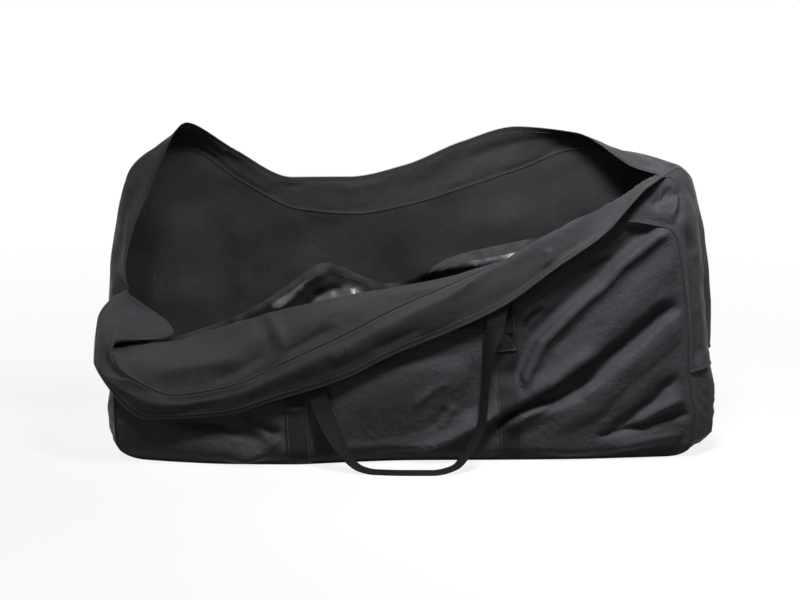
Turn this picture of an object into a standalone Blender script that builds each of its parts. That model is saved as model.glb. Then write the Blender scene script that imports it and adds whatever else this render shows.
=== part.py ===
"""Soft travel bag for a bicycle, standing on its base with the top zip run open.

The front wall has slumped, and its upper part hangs outward over itself like a collar.
X runs along the bag, -Y is the front, and Z is up from the floor under the base.
"""

import itertools
import math

import bmesh
import bpy
import numpy as np
from mathutils import Matrix, Vector

# Driving sizes, in metres
PANEL_LENGTH = 1.22
BAG_DEPTH = 0.24
BAG_HEIGHT = 0.70
CORNER_RADIUS = 0.045
TOP_CORNER_RADIUS = 0.025
FABRIC = 0.0024
BASE_THICKNESS = 0.006
PIPING_RADIUS = 0.0025
SEAM_GAP = 0.0003
CROSS_GAP = 0.0006
SEAM_LEAD = 0.008
CROSS_SEAM_HEIGHT = 0.20
FOOT_BULGE = 0.018
FOOT_BULGE_HEIGHT = 0.032
COLLAR_PUFF = 0.012

# Zips
TAPE_WIDTH = 0.012
TAPE_THICKNESS = 0.0012
COIL_RADIUS = 0.0015
ZIP_SLIT = 0.0014
ZIP_CLEARANCE = 0.0004
SLIDER_LENGTH = 0.013
SLIDER_WIDTH = 0.010
SLIDER_PLATE = 0.0014
SLIDER_POST_LENGTH = 0.004
STOP_LENGTH = 0.004
BRIDGE_BAR = 0.0012
BRIDGE_WIDTH = 0.0020
BRIDGE_INSIDE_LENGTH = 0.0056
BRIDGE_INSIDE_HEIGHT = 0.0026
PULL_LENGTH = 0.034
PULL_WIDTH = 0.0080
PULL_THICKNESS = 0.0016
PULL_CORNER = 0.0025
PULL_HOLE = 0.0040

# Webbing and handles
WEBBING_WIDTH = 0.048
WEBBING_THICKNESS = 0.0018
WEBBING_SPACING = 0.448
HANDLE_WIDTH = 0.038
ANCHOR_THICKNESS = 0.0018
BACK_HANDLE_DROP = 0.200
BACK_HANDLE_STANDOFF = 0.008
BACK_ROOT_DROP = 0.034
STRAP_BEND_RADIUS = 0.007
HINGE_CLEARANCE = 0.00005
STRAP_STEP = 0.020
FRONT_HANDLE_ROOT_SHARE = 0.2115

# Stitched patches: the height of their upper edge, how many steps they and the strap above them span
ANCHOR_TOP_SHARES = {"front": (0.393, 0.463), "back": (0.629, 0.629)}
ANCHOR_STEPS = {"front": (2, 2), "back": (2, 1)}
CLIMB_STEPS = {"front": (0, 1), "back": (0, 0)}

# Pocket and wheel divider
POCKET_FOOT = 0.030
POCKET_ZIP_SHARE = 0.393
POCKET_FABRIC = 0.0014
POCKET_ZIP_MARGIN = 0.020
DIVIDER_THICKNESS = 0.0020
DIVIDER_LENGTH = 1.145
BINDING_HEIGHT = 0.010
BINDING_THICKNESS = 0.0036

# Steps of the meshes
CORNER_STEPS = 3
FOOT_STEPS = 3
WALL_STEPS = 5
COLLAR_STEPS = 4
PROFILE_STEPS = 10
COLUMN_COUNTS = (7, 2, 9, 2, 8)
GUSSET_STEPS = 5
END_STEPS = 6
TUBE_SIDES = 5
BEND_STEPS = 6
DIVIDER_STEPS = 24
DIVIDER_RISE_STEPS = 7

# Colours, roughness and metallic share of the materials
MATERIALS = {
    "oxford_fabric": ((0.020, 0.020, 0.022), 0.75, 0.0),
    "coated_fabric": ((0.030, 0.030, 0.034), 0.35, 0.0),
    "piping_cord": ((0.015, 0.015, 0.016), 0.60, 0.0),
    "zip_tape": ((0.018, 0.018, 0.018), 0.80, 0.0),
    "webbing": ((0.018, 0.018, 0.019), 0.85, 0.0),
    "black_metal": ((0.050, 0.050, 0.050), 0.35, 0.9),
}

# How far each edge keeps from the seam line in which the piping lies
TRIM = PIPING_RADIUS + 2 * SEAM_GAP
GUSSET_TRIM = TRIM + CROSS_GAP
SEAM_HEIGHT = BASE_THICKNESS / 2 + SEAM_GAP

# Front wall, from the left end to the right, as shares of the depth (Y) and of the height (Z)
FRONT_FOOT_Y_SHARES = (-0.43, -0.56, -0.63, -0.64, -0.57, -0.51, -0.50, -0.49, -0.47, -0.42, -0.36)
FRONT_LOW_Y_SHARES = (-0.52, -0.62, -0.67, -0.66, -0.62, -0.59, -0.58, -0.57, -0.55, -0.53, -0.50)
FRONT_HIGH_Y_SHARES = (-0.49, -0.52, -0.55, -0.56, -0.56, -0.55, -0.55, -0.55, -0.56, -0.54, -0.50)
CREST_Y_SHARES = (-0.49, -0.49, -0.50, -0.51, -0.51, -0.51, -0.51, -0.52, -0.53, -0.525, -0.505)
CREST_Z_SHARES = (0.355, 0.369, 0.417, 0.467, 0.510, 0.540, 0.574, 0.616, 0.600, 0.640, 0.610)
SEAM_Y_SHARES = (-0.75, -0.78, -0.79, -0.78, -0.76, -0.72, -0.64, -0.565, -0.53, -0.51, -0.50)
SEAM_Z_SHARES = (0.305, 0.231, 0.257, 0.329, 0.407, 0.490, 0.558, 0.624, 0.680, 0.738, 0.714)
LOW_KNOT_SHARE = 0.40
HIGH_KNOT_SHARE = 0.75

# Back wall in the same way
BACK_FOOT_Y_SHARES = (0.44, 0.47, 0.48, 0.48, 0.48, 0.48, 0.48, 0.48, 0.48, 0.47, 0.44)
BACK_LOW_Y_SHARES = (0.47, 0.52, 0.55, 0.56, 0.55, 0.55, 0.56, 0.55, 0.54, 0.51, 0.47)
BACK_HIGH_Y_SHARES = (0.46, 0.47, 0.50, 0.54, 0.55, 0.54, 0.52, 0.50, 0.49, 0.48, 0.46)
BACK_TOP_Y_SHARES = (0.46, 0.47, 0.49, 0.51, 0.52, 0.52, 0.50, 0.49, 0.48, 0.47, 0.46)
BACK_TOP_Z_SHARES = (0.860, 0.905, 0.800, 0.715, 0.700, 0.730, 0.785, 0.845, 0.905, 0.893, 0.845)

# End seams from the foot up, as shares of the length outward from its two ends
FRONT_LEFT_SHIFT_SHARES = (0.000, 0.006, 0.007, 0.008, 0.004, -0.005)
FRONT_RIGHT_SHIFT_SHARES = (-0.002, -0.002, -0.014, -0.018, -0.028, -0.042)
BACK_LEFT_SHIFT_SHARES = (0.024, 0.030, 0.034, 0.030, 0.016, -0.010)
BACK_RIGHT_SHIFT_SHARES = (0.032, 0.040, 0.046, 0.040, 0.024, 0.000)

# Fullness of the two lower end walls, from the foot up, as shares of that at the cross seam
LEFT_BELLY_SHARES = (1.00, 1.00, 1.15, 1.00)
RIGHT_BELLY_SHARES = (1.00, 1.00, 1.10, 1.00)

# Zip gusset halves. A row is a place along the seam, then the fold and the lip. Places run from 0 to
# 1 up the left end, to 2 along the top and to 3 down the right end. Points are shares of the length,
# the depth and the height. The zip opens at the two open lips.
OPEN_LIPS = {"left": (-0.4930, 0.00, 0.493), "right": (0.5060, 0.00, 0.743)}
FRONT_OPEN_PLACE_SHARES = (0.38, 2.23)
FRONT_GUSSET_SHARES = (
    (0.00, (-0.526, -0.25, 0.286), (-0.5250, 0.00, 0.286)),
    (0.20, (-0.507, -0.25, 0.372), (-0.5080, 0.00, 0.395)),
    (0.38, (-0.452, -0.25, 0.424), OPEN_LIPS["left"]),
    (0.55, (-0.490, -0.36, 0.443), (-0.5150, -0.15, 0.479)),
    (0.75, (-0.523, -0.49, 0.405), (-0.5370, -0.33, 0.424)),
    (1.00, (-0.520, -0.72, 0.290), (-0.5370, -0.64, 0.322)),
    (1.10, (-0.410, -0.82, 0.200), (-0.4470, -0.75, 0.154)),
    (1.20, (-0.307, -0.83, 0.222), (-0.3200, -0.76, 0.165)),
    (1.30, (-0.211, -0.83, 0.293), (-0.2150, -0.76, 0.217)),
    (1.40, (-0.116, -0.82, 0.364), (-0.1170, -0.75, 0.269)),
    (1.50, (-0.021, -0.79, 0.446), (-0.0210, -0.73, 0.350)),
    (1.60, (0.074, -0.73, 0.529), (0.0740, -0.70, 0.417)),
    (1.70, (0.169, -0.62, 0.632), (0.1640, -0.69, 0.493)),
    (1.80, (0.263, -0.57, 0.722), (0.2540, -0.67, 0.607)),
    (1.90, (0.361, -0.47, 0.804), (0.3360, -0.62, 0.707)),
    (1.96, (0.426, -0.42, 0.869), (0.4100, -0.54, 0.843)),
    (2.05, (0.471, -0.35, 0.836), (0.4650, -0.21, 0.886)),
    (2.12, (0.486, -0.30, 0.786), (0.4920, -0.08, 0.833)),
    (2.23, (0.497, -0.25, 0.714), OPEN_LIPS["right"]),
    (3.00, (0.530, -0.25, 0.286), (0.5330, 0.00, 0.286)),
)
BACK_OPEN_PLACE_SHARES = (0.40, 2.20)
BACK_GUSSET_SHARES = (
    (0.00, (-0.533, 0.25, 0.286), (-0.5250, 0.00, 0.286)),
    (0.40, (-0.524, 0.25, 0.500), OPEN_LIPS["left"]),
    (0.50, (-0.520, 0.29, 0.571), (-0.4980, 0.10, 0.550)),
    (0.70, (-0.510, 0.31, 0.700), (-0.4850, 0.15, 0.664)),
    (0.85, (-0.492, 0.33, 0.800), (-0.4590, 0.17, 0.771)),
    (1.00, (-0.455, 0.35, 0.900), (-0.4300, 0.19, 0.890)),
    (1.10, (-0.398, 0.37, 0.957), (-0.3860, 0.21, 1.000)),
    (1.20, (-0.305, 0.47, 0.864), (-0.3050, 0.42, 0.907)),
    (1.30, (-0.205, 0.51, 0.771), (-0.2050, 0.51, 0.817)),
    (1.40, (-0.105, 0.53, 0.764), (-0.1050, 0.53, 0.817)),
    (1.50, (-0.004, 0.53, 0.800), (-0.0040, 0.53, 0.854)),
    (1.60, (0.097, 0.51, 0.864), (0.0970, 0.49, 0.929)),
    (1.70, (0.197, 0.48, 0.921), (0.1970, 0.42, 0.979)),
    (1.80, (0.298, 0.42, 0.950), (0.2980, 0.31, 0.964)),
    (1.90, (0.399, 0.31, 0.897), (0.3990, 0.13, 0.864)),
    (1.98, (0.463, 0.29, 0.857), (0.4590, 0.05, 0.836)),
    (2.12, (0.502, 0.25, 0.800), (0.4930, 0.02, 0.800)),
    (2.20, (0.512, 0.25, 0.743), OPEN_LIPS["right"]),
    (3.00, (0.534, 0.25, 0.286), (0.5330, 0.00, 0.286)),
)

# Wheel divider: its plan and its top edge from left to right
DIVIDER_SHIFT_SHARE = -0.014
DIVIDER_Y_SHARES = (-0.33, -0.27, -0.19, -0.14, -0.12, -0.12, -0.14, -0.19, -0.26)
DIVIDER_TOP_SHARES = (0.330, 0.372, 0.425, 0.505, 0.585, 0.520, 0.605, 0.645, 0.668, 0.672, 0.640)

# Handles: the free loop from left to right, with the turn of the strap about its own run as a share
# of a turn. The front rows are shares of the webbing spacing, of the depth and of the height of the
# left root. The back rows are shares of the way between the two roots, of the standoff and of the drop.
FRONT_HANDLE_SHARES = (
    (-0.410, -0.715, 1.000, 0.00),
    (-0.388, -0.735, 0.800, 0.00),
    (-0.345, -0.780, 0.520, 0.00),
    (-0.290, -0.830, 0.250, 0.04),
    (-0.225, -0.870, 0.060, 0.18),
    (-0.150, -0.895, 0.0110, 0.25),
    (-0.010, -0.920, 0.0110, 0.25),
    (0.120, -0.920, 0.0110, 0.25),
    (0.225, -0.890, 0.080, 0.17),
    (0.300, -0.830, 0.330, 0.04),
    (0.350, -0.770, 0.700, 0.00),
    (0.372, -0.720, 1.150, 0.00),
    (0.390, -0.690, 1.600, 0.00),
    (0.412, -0.665, 2.030, 0.00),
)
BACK_HANDLE_SHARES = (
    (0.000, 0.000, 1.000, 0.00),
    (0.015, 0.500, 0.740, 0.00),
    (0.100, 0.850, 0.320, 0.00),
    (0.300, 1.000, 0.060, 0.00),
    (0.500, 1.000, 0.000, 0.00),
    (0.700, 1.000, 0.060, 0.00),
    (0.900, 0.850, 0.320, 0.00),
    (0.985, 0.500, 0.740, 0.00),
    (1.000, 0.000, 1.000, 0.00),
)


def pchip(places, values, at):
    """Smooth curve through the values that never overshoots them."""
    places = np.asarray(places, float)
    values = np.asarray(values, float)
    at = np.clip(np.asarray(at, float), places[0], places[-1])
    run = np.diff(places)
    rise = np.diff(values) / run
    slope = np.zeros_like(values)
    for i in range(1, len(values) - 1):
        if rise[i - 1] * rise[i] > 0:
            before = 2 * run[i] + run[i - 1]
            after = run[i] + 2 * run[i - 1]
            slope[i] = (before + after) / (before / rise[i - 1] + after / rise[i])
    slope[0] = rise[0]
    slope[-1] = rise[-1]
    i = np.clip(np.searchsorted(places, at, side="right") - 1, 0, len(run) - 1)
    t = (at - places[i]) / run[i]
    start = (1 + 2 * t) * (1 - t) ** 2 * values[i] + t * (1 - t) ** 2 * run[i] * slope[i]
    end = t**2 * (3 - 2 * t) * values[i + 1] + t**2 * (t - 1) * run[i] * slope[i + 1]
    return start + end


def along(shares, u):
    """Value at u, from 0 to 1, of a curve through evenly spaced shares."""
    return pchip(np.linspace(0, 1, len(shares)), shares, u)


def smooth_path(controls):
    """Smooth polyline through control points, in a fixed number of steps between each two."""
    controls = np.asarray(controls, float)
    chord = np.linalg.norm(np.diff(controls, axis=0), axis=1)
    places = np.concatenate([[0], np.cumsum(chord)])
    spans = zip(places, places[1:])
    at = [np.linspace(a, b, PROFILE_STEPS, endpoint=False) for a, b in spans]
    at = np.append(np.concatenate(at), places[-1])
    return np.stack([pchip(places, c, at) for c in controls.T], axis=1)


def path_length(path):
    """Length of a polyline."""
    return float(np.linalg.norm(np.diff(path, axis=0), axis=1).sum())


def at_distance(path, distances):
    """Points at given distances along a polyline."""
    run = np.concatenate([[0], np.cumsum(np.linalg.norm(np.diff(path, axis=0), axis=1))])
    return np.stack([np.interp(distances, run, c) for c in path.T], axis=-1)


def clear_of(points, line, distance):
    """Points moved away from a line wherever they lie nearer to it than a distance."""
    starts = line[:-1]
    run = line[1:] - starts
    moved = points.reshape(-1, 3).copy()
    for i, p in enumerate(moved):
        t = np.clip(((p - starts) * run).sum(axis=1) / (run * run).sum(axis=1), 0, 1)
        foots = starts + run * t[:, None]
        away = p - foots
        k = np.argmin(np.linalg.norm(away, axis=1))
        if np.linalg.norm(away[k]) < distance:
            moved[i] = foots[k] + unit(away[k]) * distance
    return moved.reshape(points.shape)


def unit(v):
    """Vectors scaled to length 1."""
    return v / np.maximum(np.linalg.norm(v, axis=-1, keepdims=True), 1e-12)


def real(shares):
    """Real place of a point given in shares of the length, the depth and the height."""
    return np.array([shares[0] * PANEL_LENGTH, shares[1] * BAG_DEPTH, shares[2] * BAG_HEIGHT])


def material(name):
    """Plain material with the colour and the finish of the table."""
    colour, roughness, metallic = MATERIALS[name]
    made = bpy.data.materials.new(name)
    made.use_nodes = True
    shader = made.node_tree.nodes["Principled BSDF"]
    shader.inputs["Base Color"].default_value = (*colour, 1)
    shader.inputs["Roughness"].default_value = roughness
    shader.inputs["Metallic"].default_value = metallic
    made.diffuse_color = (*colour, 1)
    return made


def add_object(name, points, faces, slot, smooth=True):
    """Object with its faces turned outward, in the scene's collection."""
    mesh = bpy.data.meshes.new(name)
    mesh.from_pydata([tuple(p) for p in points], [], faces)
    shaped = bmesh.new()
    shaped.from_mesh(mesh)
    bmesh.ops.recalc_face_normals(shaped, faces=shaped.faces)
    if shaped.calc_volume(signed=True) < 0:
        bmesh.ops.reverse_faces(shaped, faces=shaped.faces)
    shaped.to_mesh(mesh)
    shaped.free()
    mesh.materials.append(slot)
    if smooth:
        mesh.shade_smooth()
        mesh.set_sharp_from_angle(angle=math.radians(40))
    made = bpy.data.objects.new(name, mesh)
    bpy.context.scene.collection.objects.link(made)
    return made


def grid_faces(rows, columns, start, flip):
    """Triangles of a grid of rows by columns points."""
    faces = []
    for j in range(rows - 1):
        for i in range(columns - 1):
            a = start + j * columns + i
            b = a + 1
            c = b + columns
            d = a + columns
            pair = [(a, b, c), (a, c, d)]
            faces += [t[::-1] for t in pair] if flip else pair
    return faces


def grid_normals(grid):
    """Unit normals of a grid of points, by rows and columns."""
    return unit(np.cross(np.gradient(grid, axis=1), np.gradient(grid, axis=0)))


def sheet(name, grid, low, high, slot, normals=None, seams=()):
    """Closed sheet between two offsets along the normals of a grid, clear of the piping on its seams."""
    normals = grid_normals(grid) if normals is None else normals
    rows, columns = grid.shape[:2]
    bottom = (grid + normals * low).reshape(-1, 3)
    top = (grid + normals * high).reshape(-1, 3)
    for seam in seams:
        bottom = clear_of(bottom, seam, TRIM)
        top = clear_of(top, seam, TRIM)
    count = rows * columns
    faces = grid_faces(rows, columns, 0, True) + grid_faces(rows, columns, count, False)
    rim = list(range(columns))
    rim += [j * columns + columns - 1 for j in range(1, rows)]
    rim += [(rows - 1) * columns + i for i in range(columns - 2, -1, -1)]
    rim += [j * columns for j in range(rows - 2, 0, -1)]
    for a, b in zip(rim, rim[1:] + rim[:1]):
        faces += [(a, b, b + count), (a, b + count, a + count)]
    return add_object(name, np.concatenate([bottom, top]), faces, slot)


def sweep(name, sections, slot, closed=False, smooth=True):
    """Closed tube through rings of points, one ring for each station."""
    stations, sides = sections.shape[:2]
    faces = []
    for s in range(stations if closed else stations - 1):
        here = s * sides
        there = (s + 1) % stations * sides
        for i in range(sides):
            k = (i + 1) % sides
            faces += [(here + i, here + k, there + k), (here + i, there + k, there + i)]
    if not closed:
        faces.append(tuple(range(sides))[::-1])
        faces.append(tuple((stations - 1) * sides + i for i in range(sides)))
    return add_object(name, sections.reshape(-1, 3), faces, slot, smooth)


def tube_rings(path, radius):
    """Rings of points round a closed path."""
    tangent = unit(np.roll(path, -1, axis=0) - np.roll(path, 1, axis=0))
    side = np.array([0, 1.0, 0])
    across = unit(side - tangent * (side * tangent).sum(axis=1, keepdims=True))
    up = np.cross(tangent, across)
    angles = np.linspace(0, 2 * math.pi, TUBE_SIDES, endpoint=False)
    ring = across[:, None] * np.cos(angles)[None, :, None] + up[:, None] * np.sin(angles)[None, :, None]
    return path[:, None] + radius * ring


def box(low, high):
    """Corner points and faces of a box."""
    corners = list(itertools.product(*zip(low, high)))
    faces = [(0, 1, 3, 2), (4, 6, 7, 5), (0, 4, 5, 1), (2, 3, 7, 6), (0, 2, 6, 4), (1, 5, 7, 3)]
    return corners, faces


# Walls


def front_profile(u):
    """Section of the front wall at u, over the crest and out to the top seam, and where the crest is."""
    foot_y = along(FRONT_FOOT_Y_SHARES, u) * BAG_DEPTH
    crest_z = along(CREST_Z_SHARES, u) * BAG_HEIGHT
    crest = np.array([along(CREST_Y_SHARES, u) * BAG_DEPTH, crest_z])
    seam = np.array([along(SEAM_Y_SHARES, u) * BAG_DEPTH, along(SEAM_Z_SHARES, u) * BAG_HEIGHT])
    middle = (crest + seam) / 2
    reach = abs(seam[0] - crest[0]) / (BAG_DEPTH / 4)
    middle = middle + np.array([-COLLAR_PUFF, COLLAR_PUFF]) * min(reach, 1)
    controls = [
        (foot_y, SEAM_HEIGHT),
        (foot_y - FOOT_BULGE, FOOT_BULGE_HEIGHT),
        (along(FRONT_LOW_Y_SHARES, u) * BAG_DEPTH, LOW_KNOT_SHARE * crest_z),
        (along(FRONT_HIGH_Y_SHARES, u) * BAG_DEPTH, HIGH_KNOT_SHARE * crest_z),
        crest,
        middle,
        seam,
    ]
    path = smooth_path(controls)
    return path, path_length(path[: 4 * PROFILE_STEPS + 1])


def back_profile(u):
    """Section of the back wall at u, up to the top seam, and where its upper knot is."""
    foot_y = along(BACK_FOOT_Y_SHARES, u) * BAG_DEPTH
    top_z = along(BACK_TOP_Z_SHARES, u) * BAG_HEIGHT
    controls = [
        (foot_y, SEAM_HEIGHT),
        (foot_y + FOOT_BULGE / 2, FOOT_BULGE_HEIGHT),
        (along(BACK_LOW_Y_SHARES, u) * BAG_DEPTH, LOW_KNOT_SHARE * top_z),
        (along(BACK_HIGH_Y_SHARES, u) * BAG_DEPTH, HIGH_KNOT_SHARE * top_z),
        (along(BACK_TOP_Y_SHARES, u) * BAG_DEPTH, top_z),
    ]
    path = smooth_path(controls)
    return path, path_length(path[: 3 * PROFILE_STEPS + 1])


def wall_point(profile, shifts, u, distance):
    """Point of a wall at u along it and a distance up from its foot seam."""
    path, _ = profile(u)
    share = distance / path_length(path)
    y, z = at_distance(path, distance)
    left = PANEL_LENGTH * (-0.5 - along(shifts[0], share))
    right = PANEL_LENGTH * (0.5 + along(shifts[1], share))
    return np.array([left + (right - left) * u, y, z])


def row_distances(length, crest, trim):
    """Distances of the wall's rows from its foot seam, with one on the crest."""
    turn = np.linspace(0, math.pi / 2, CORNER_STEPS + 1)
    foot = CORNER_RADIUS - (CORNER_RADIUS - trim) * np.cos(turn)
    top = length - TOP_CORNER_RADIUS + (TOP_CORNER_RADIUS - trim) * np.sin(turn)
    crest = min(crest, top[0] - TOP_CORNER_RADIUS / 2)
    low = np.linspace(CORNER_RADIUS, CROSS_SEAM_HEIGHT, FOOT_STEPS + 1)[1:]
    high = np.linspace(CROSS_SEAM_HEIGHT, crest, WALL_STEPS + 1)[1:]
    over = np.linspace(crest, top[0], COLLAR_STEPS + 1)[1:]
    return np.concatenate([foot, low, high, over, top[1:]])


def row_insets(trim):
    """How far each row stays inside the wall's end seams."""
    turn = np.linspace(0, math.pi / 2, CORNER_STEPS + 1)
    foot = CORNER_RADIUS - (CORNER_RADIUS - trim) * np.sin(turn)
    top = TOP_CORNER_RADIUS - (TOP_CORNER_RADIUS - trim) * np.cos(turn)
    return np.concatenate([foot, np.full(FOOT_STEPS + WALL_STEPS + COLLAR_STEPS, trim), top[1:]])


def webbing_places():
    """Left and right edges of both webbings, along the wall from 0 to 1."""
    middle = np.array([-0.5, 0.5]) * WEBBING_SPACING
    edges = [m + s * WEBBING_WIDTH / 2 for m in middle for s in (-1, 1)]
    return [0.5 + e / PANEL_LENGTH for e in edges]


def column_places():
    """Columns of the walls, with one on each edge of the webbings."""
    marks = [0.0, *webbing_places(), 1.0]
    spans = zip(marks, marks[1:], COLUMN_COUNTS)
    parts = [np.linspace(a, b, n, endpoint=False) for a, b, n in spans]
    return np.append(np.concatenate(parts), 1.0)


def wall_grid(profile, shifts, trim):
    """Points of a wall with round corners, by rows up from the foot and columns from the left."""
    reach = webbing_places()[0]
    insets = row_insets(trim) / PANEL_LENGTH
    grid = []
    for c in column_places():
        column = []
        for j, inset in enumerate(insets):
            u = c + inset * max(0, 1 - c / reach) - inset * max(0, 1 - (1 - c) / reach)
            path, crest = profile(u)
            distance = row_distances(path_length(path), crest, trim)[j]
            column.append(wall_point(profile, shifts, u, distance))
        grid.append(column)
    return np.array(grid).transpose(1, 0, 2)


FRONT_SHIFTS = (FRONT_LEFT_SHIFT_SHARES, FRONT_RIGHT_SHIFT_SHARES)
BACK_SHIFTS = (BACK_LEFT_SHIFT_SHARES, BACK_RIGHT_SHIFT_SHARES)
CROSS_ROW = CORNER_STEPS + FOOT_STEPS


def seam_loop(seams):
    """Closed seam line round a wall, anticlockwise from its lower left corner."""
    return np.concatenate([seams[0, :-1], seams[:-1, -1], seams[-1, :0:-1], seams[:0:-1, 0]])


# Zip gusset


def gusset_seam(seams):
    """Seam points of a zip gusset, their places, and the way out of the wall at each of them.

    The stations run up the left end, along the top and down the right end.
    """
    legs = []
    for column, inner in ((0, 1), (-1, -2)):
        leg = seams[CROSS_ROW:, column]
        run = np.concatenate([[0], np.cumsum(np.linalg.norm(np.diff(leg, axis=0), axis=1))])
        legs.append((leg, run / run[-1], leg - seams[CROSS_ROW:, inner]))
    (left, left_rise, left_out), (right, right_rise, right_out) = legs
    columns = column_places()[1:-1]
    points = np.concatenate([left, seams[-1, 1:-1], right[::-1]])
    out = np.concatenate([left_out, (seams[-1] - seams[-2])[1:-1], right_out[::-1]])
    return points, np.concatenate([left_rise, 1 + columns, 3 - right_rise[::-1]]), unit(out)


def gusset_lines(table, open_places, places, side):
    """Fold and lip of a zip gusset at its stations, and 1 at the stations where the zip is shut.

    The lip is straight where the zip is shut, and the zip opens at a station.
    """
    at = np.array([row[0] for row in table])
    folds = np.array([real(row[1]) for row in table])
    lips = np.array([real(row[2]) for row in table])
    stations = [int(np.argmin(np.abs(places - p))) for p in open_places]
    rows = [int(np.argmin(np.abs(at - p))) for p in open_places]
    at[rows] = places[stations]
    order = np.argsort(at)
    at, folds, lips = at[order], folds[order], lips[order]
    rows = [int(np.argmin(np.abs(at - places[s]))) for s in stations]
    fold = np.stack([pchip(at, c, places) for c in folds.T], axis=1)
    lip = np.stack([pchip(at, c, places) for c in lips.T], axis=1)
    shut = np.zeros(len(places))
    ends = ((0, stations[0], 0, rows[0]), (stations[1], len(places) - 1, rows[1], -1))
    for first, last, a, b in ends:
        part = slice(first, last + 1)
        share = (places[part] - places[first]) / (places[last] - places[first])
        lip[part] = lips[a] + (lips[b] - lips[a]) * share[:, None]
        shut[part] = 1
    lip[:, 1] += side * ZIP_SLIT / 2
    return fold, lip, shut


def gusset_strips(seam, out, folds, lips, shut, side):
    """Grids of the gusset's fabric and of its zip tape, by stations and from the seam to the lip."""
    fabric = []
    tape = []
    lead = np.array([0, side, 0]) * 2 * TAPE_WIDTH
    runs = unit(np.gradient(seam, axis=0))
    for point, run, away, fold, lip, closed in zip(seam, runs, out, folds, lips, shut):
        leave = unit(fold - point) + away
        leave = point + unit(leave - run * (leave * run).sum()) * SEAM_LEAD
        toward = unit(fold - lip) * 2 * TAPE_WIDTH
        near_lip = lip + toward + (lead - toward) * closed
        path = smooth_path([point, leave, fold, near_lip, lip])
        length = path_length(path)
        start = np.linspace(GUSSET_TRIM, length - TAPE_WIDTH - SEAM_GAP, GUSSET_STEPS + 1)
        fabric.append(at_distance(path, start))
        tape.append(at_distance(path, np.linspace(length - TAPE_WIDTH, length, 3)))
    return np.array(fabric), np.array(tape)


def tape_rings(tape):
    """Sections of a zip tape with its coil along the free edge."""
    across = unit(tape[:, 2] - tape[:, 0])
    normals = unit(np.cross(np.gradient(tape[:, 1], axis=0), across))
    thick = TAPE_THICKNESS / 2
    back = 2 * COIL_RADIUS
    outline = [
        (-TAPE_WIDTH, -thick),
        (-back, -thick),
        (-COIL_RADIUS, -COIL_RADIUS),
        (0, 0),
        (-COIL_RADIUS, COIL_RADIUS),
        (-back, thick),
        (-TAPE_WIDTH, thick),
    ]
    edge = tape[:, 2]
    return np.stack([edge + across * a + normals * n for a, n in outline], axis=1)


def end_wall(name, seams, folds, lip, belly, slot):
    """Lower end wall, from the base round the corner and up to the cross seam below the zip."""
    lead = np.array([0, 2 * TAPE_WIDTH, 0])
    top = np.array([seams[0][-1], folds[0], lip - lead, lip, lip + lead, folds[1], seams[1][-1]])
    shares = (top[:, 1] - top[0, 1]) / (top[-1, 1] - top[0, 1])
    swell = top - (top[0] + (top[-1] - top[0]) * shares[:, None])
    grid = []
    for j, (front, back) in enumerate(zip(*seams)):
        fullness = along(belly, j / CROSS_ROW) * min(j / CORNER_STEPS, 1)
        controls = front + (back - front) * shares[:, None] + swell * fullness
        path = smooth_path(controls)
        length = path_length(path)
        grid.append(at_distance(path, np.linspace(TRIM, length - TRIM, END_STEPS + 1)))
    grid = np.array(grid)
    grid[-1] -= unit(grid[-1] - grid[-2]) * CROSS_GAP
    grid[0] += unit(grid[1] - grid[0]) * 2 * CROSS_GAP
    sheet(name, grid, -FABRIC / 2, FABRIC / 2, slot, seams=seams)


def base_wall(name, front, back, slot):
    """Padded base plate between the front and the back foot seams, flat underneath."""
    front = front.copy()
    back = back.copy()
    front[:, 1] += TRIM
    back[:, 1] -= TRIM
    grid = np.stack([front, back], axis=0)
    grid[..., 2] = BASE_THICKNESS / 2
    grid[:, 0, 0] += SEAM_GAP
    grid[:, -1, 0] -= SEAM_GAP
    up = np.zeros_like(grid)
    up[..., 2] = 1
    sheet(name, grid, -BASE_THICKNESS / 2, BASE_THICKNESS / 2, slot, up)


# Webbing, pocket and handles


def row_near(grid, column, height):
    """Row of a wall below its crest whose point in a column lies nearest to a height."""
    rise = grid[: np.argmax(grid[:, column, 2]) + 1, column, 2]
    return int(np.argmin(np.abs(rise - height)))


def at_level(grid, normals, column, height, offset):
    """Point over a wall's column at a height, lifted off it along its normal."""
    below = row_near(grid, column, height)
    if grid[below, column, 2] > height:
        below -= 1
    a, b = grid[below, column], grid[below + 1, column]
    share = (height - a[2]) / (b[2] - a[2])
    lift = normals[below, column] + (normals[below + 1, column] - normals[below, column]) * share
    return a + (b - a) * share + unit(lift) * offset


def layer(name, grid, normals, rows, columns, low, thickness, slot):
    """Sheet laid on part of a wall, with its underside at a given offset from the wall's middle."""
    part = (slice(rows[0], rows[1] + 1), slice(columns[0], columns[1] + 1))
    sheet(name, grid[part], low, low + thickness, slot, normals[part])


def strap_ribbon(name, path, across, axis, ends, slot):
    """Handle strap along a path, with the way across it at each point.

    The ends are pairs of an index and a run, and there the strap is cut along the axis.
    """
    run = unit(np.gradient(path, axis=0))
    for end, direction in ends:
        run[end] = direction
    across = unit(across - run * (across * run).sum(axis=1, keepdims=True))
    normal = np.cross(run, across)
    for end, direction in ends:
        across[end] = axis / np.linalg.norm(np.cross(direction, axis)) * np.sign(across[end] @ axis)
    corners = np.array([(-1, -1), (1, -1), (1, 1), (-1, 1)]) / 2
    rings = [path + across * a * HANDLE_WIDTH + normal * n * WEBBING_THICKNESS for a, n in corners]
    return sweep(name, np.stack(rings, axis=1), slot, smooth=False)


def even_path(controls, spacing):
    """Smooth curve through controls, in even steps of about a given length."""
    dense = smooth_path(controls)
    length = path_length(dense)
    count = max(2, round(length / spacing))
    return at_distance(dense, np.linspace(0, length, count + 1))


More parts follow.
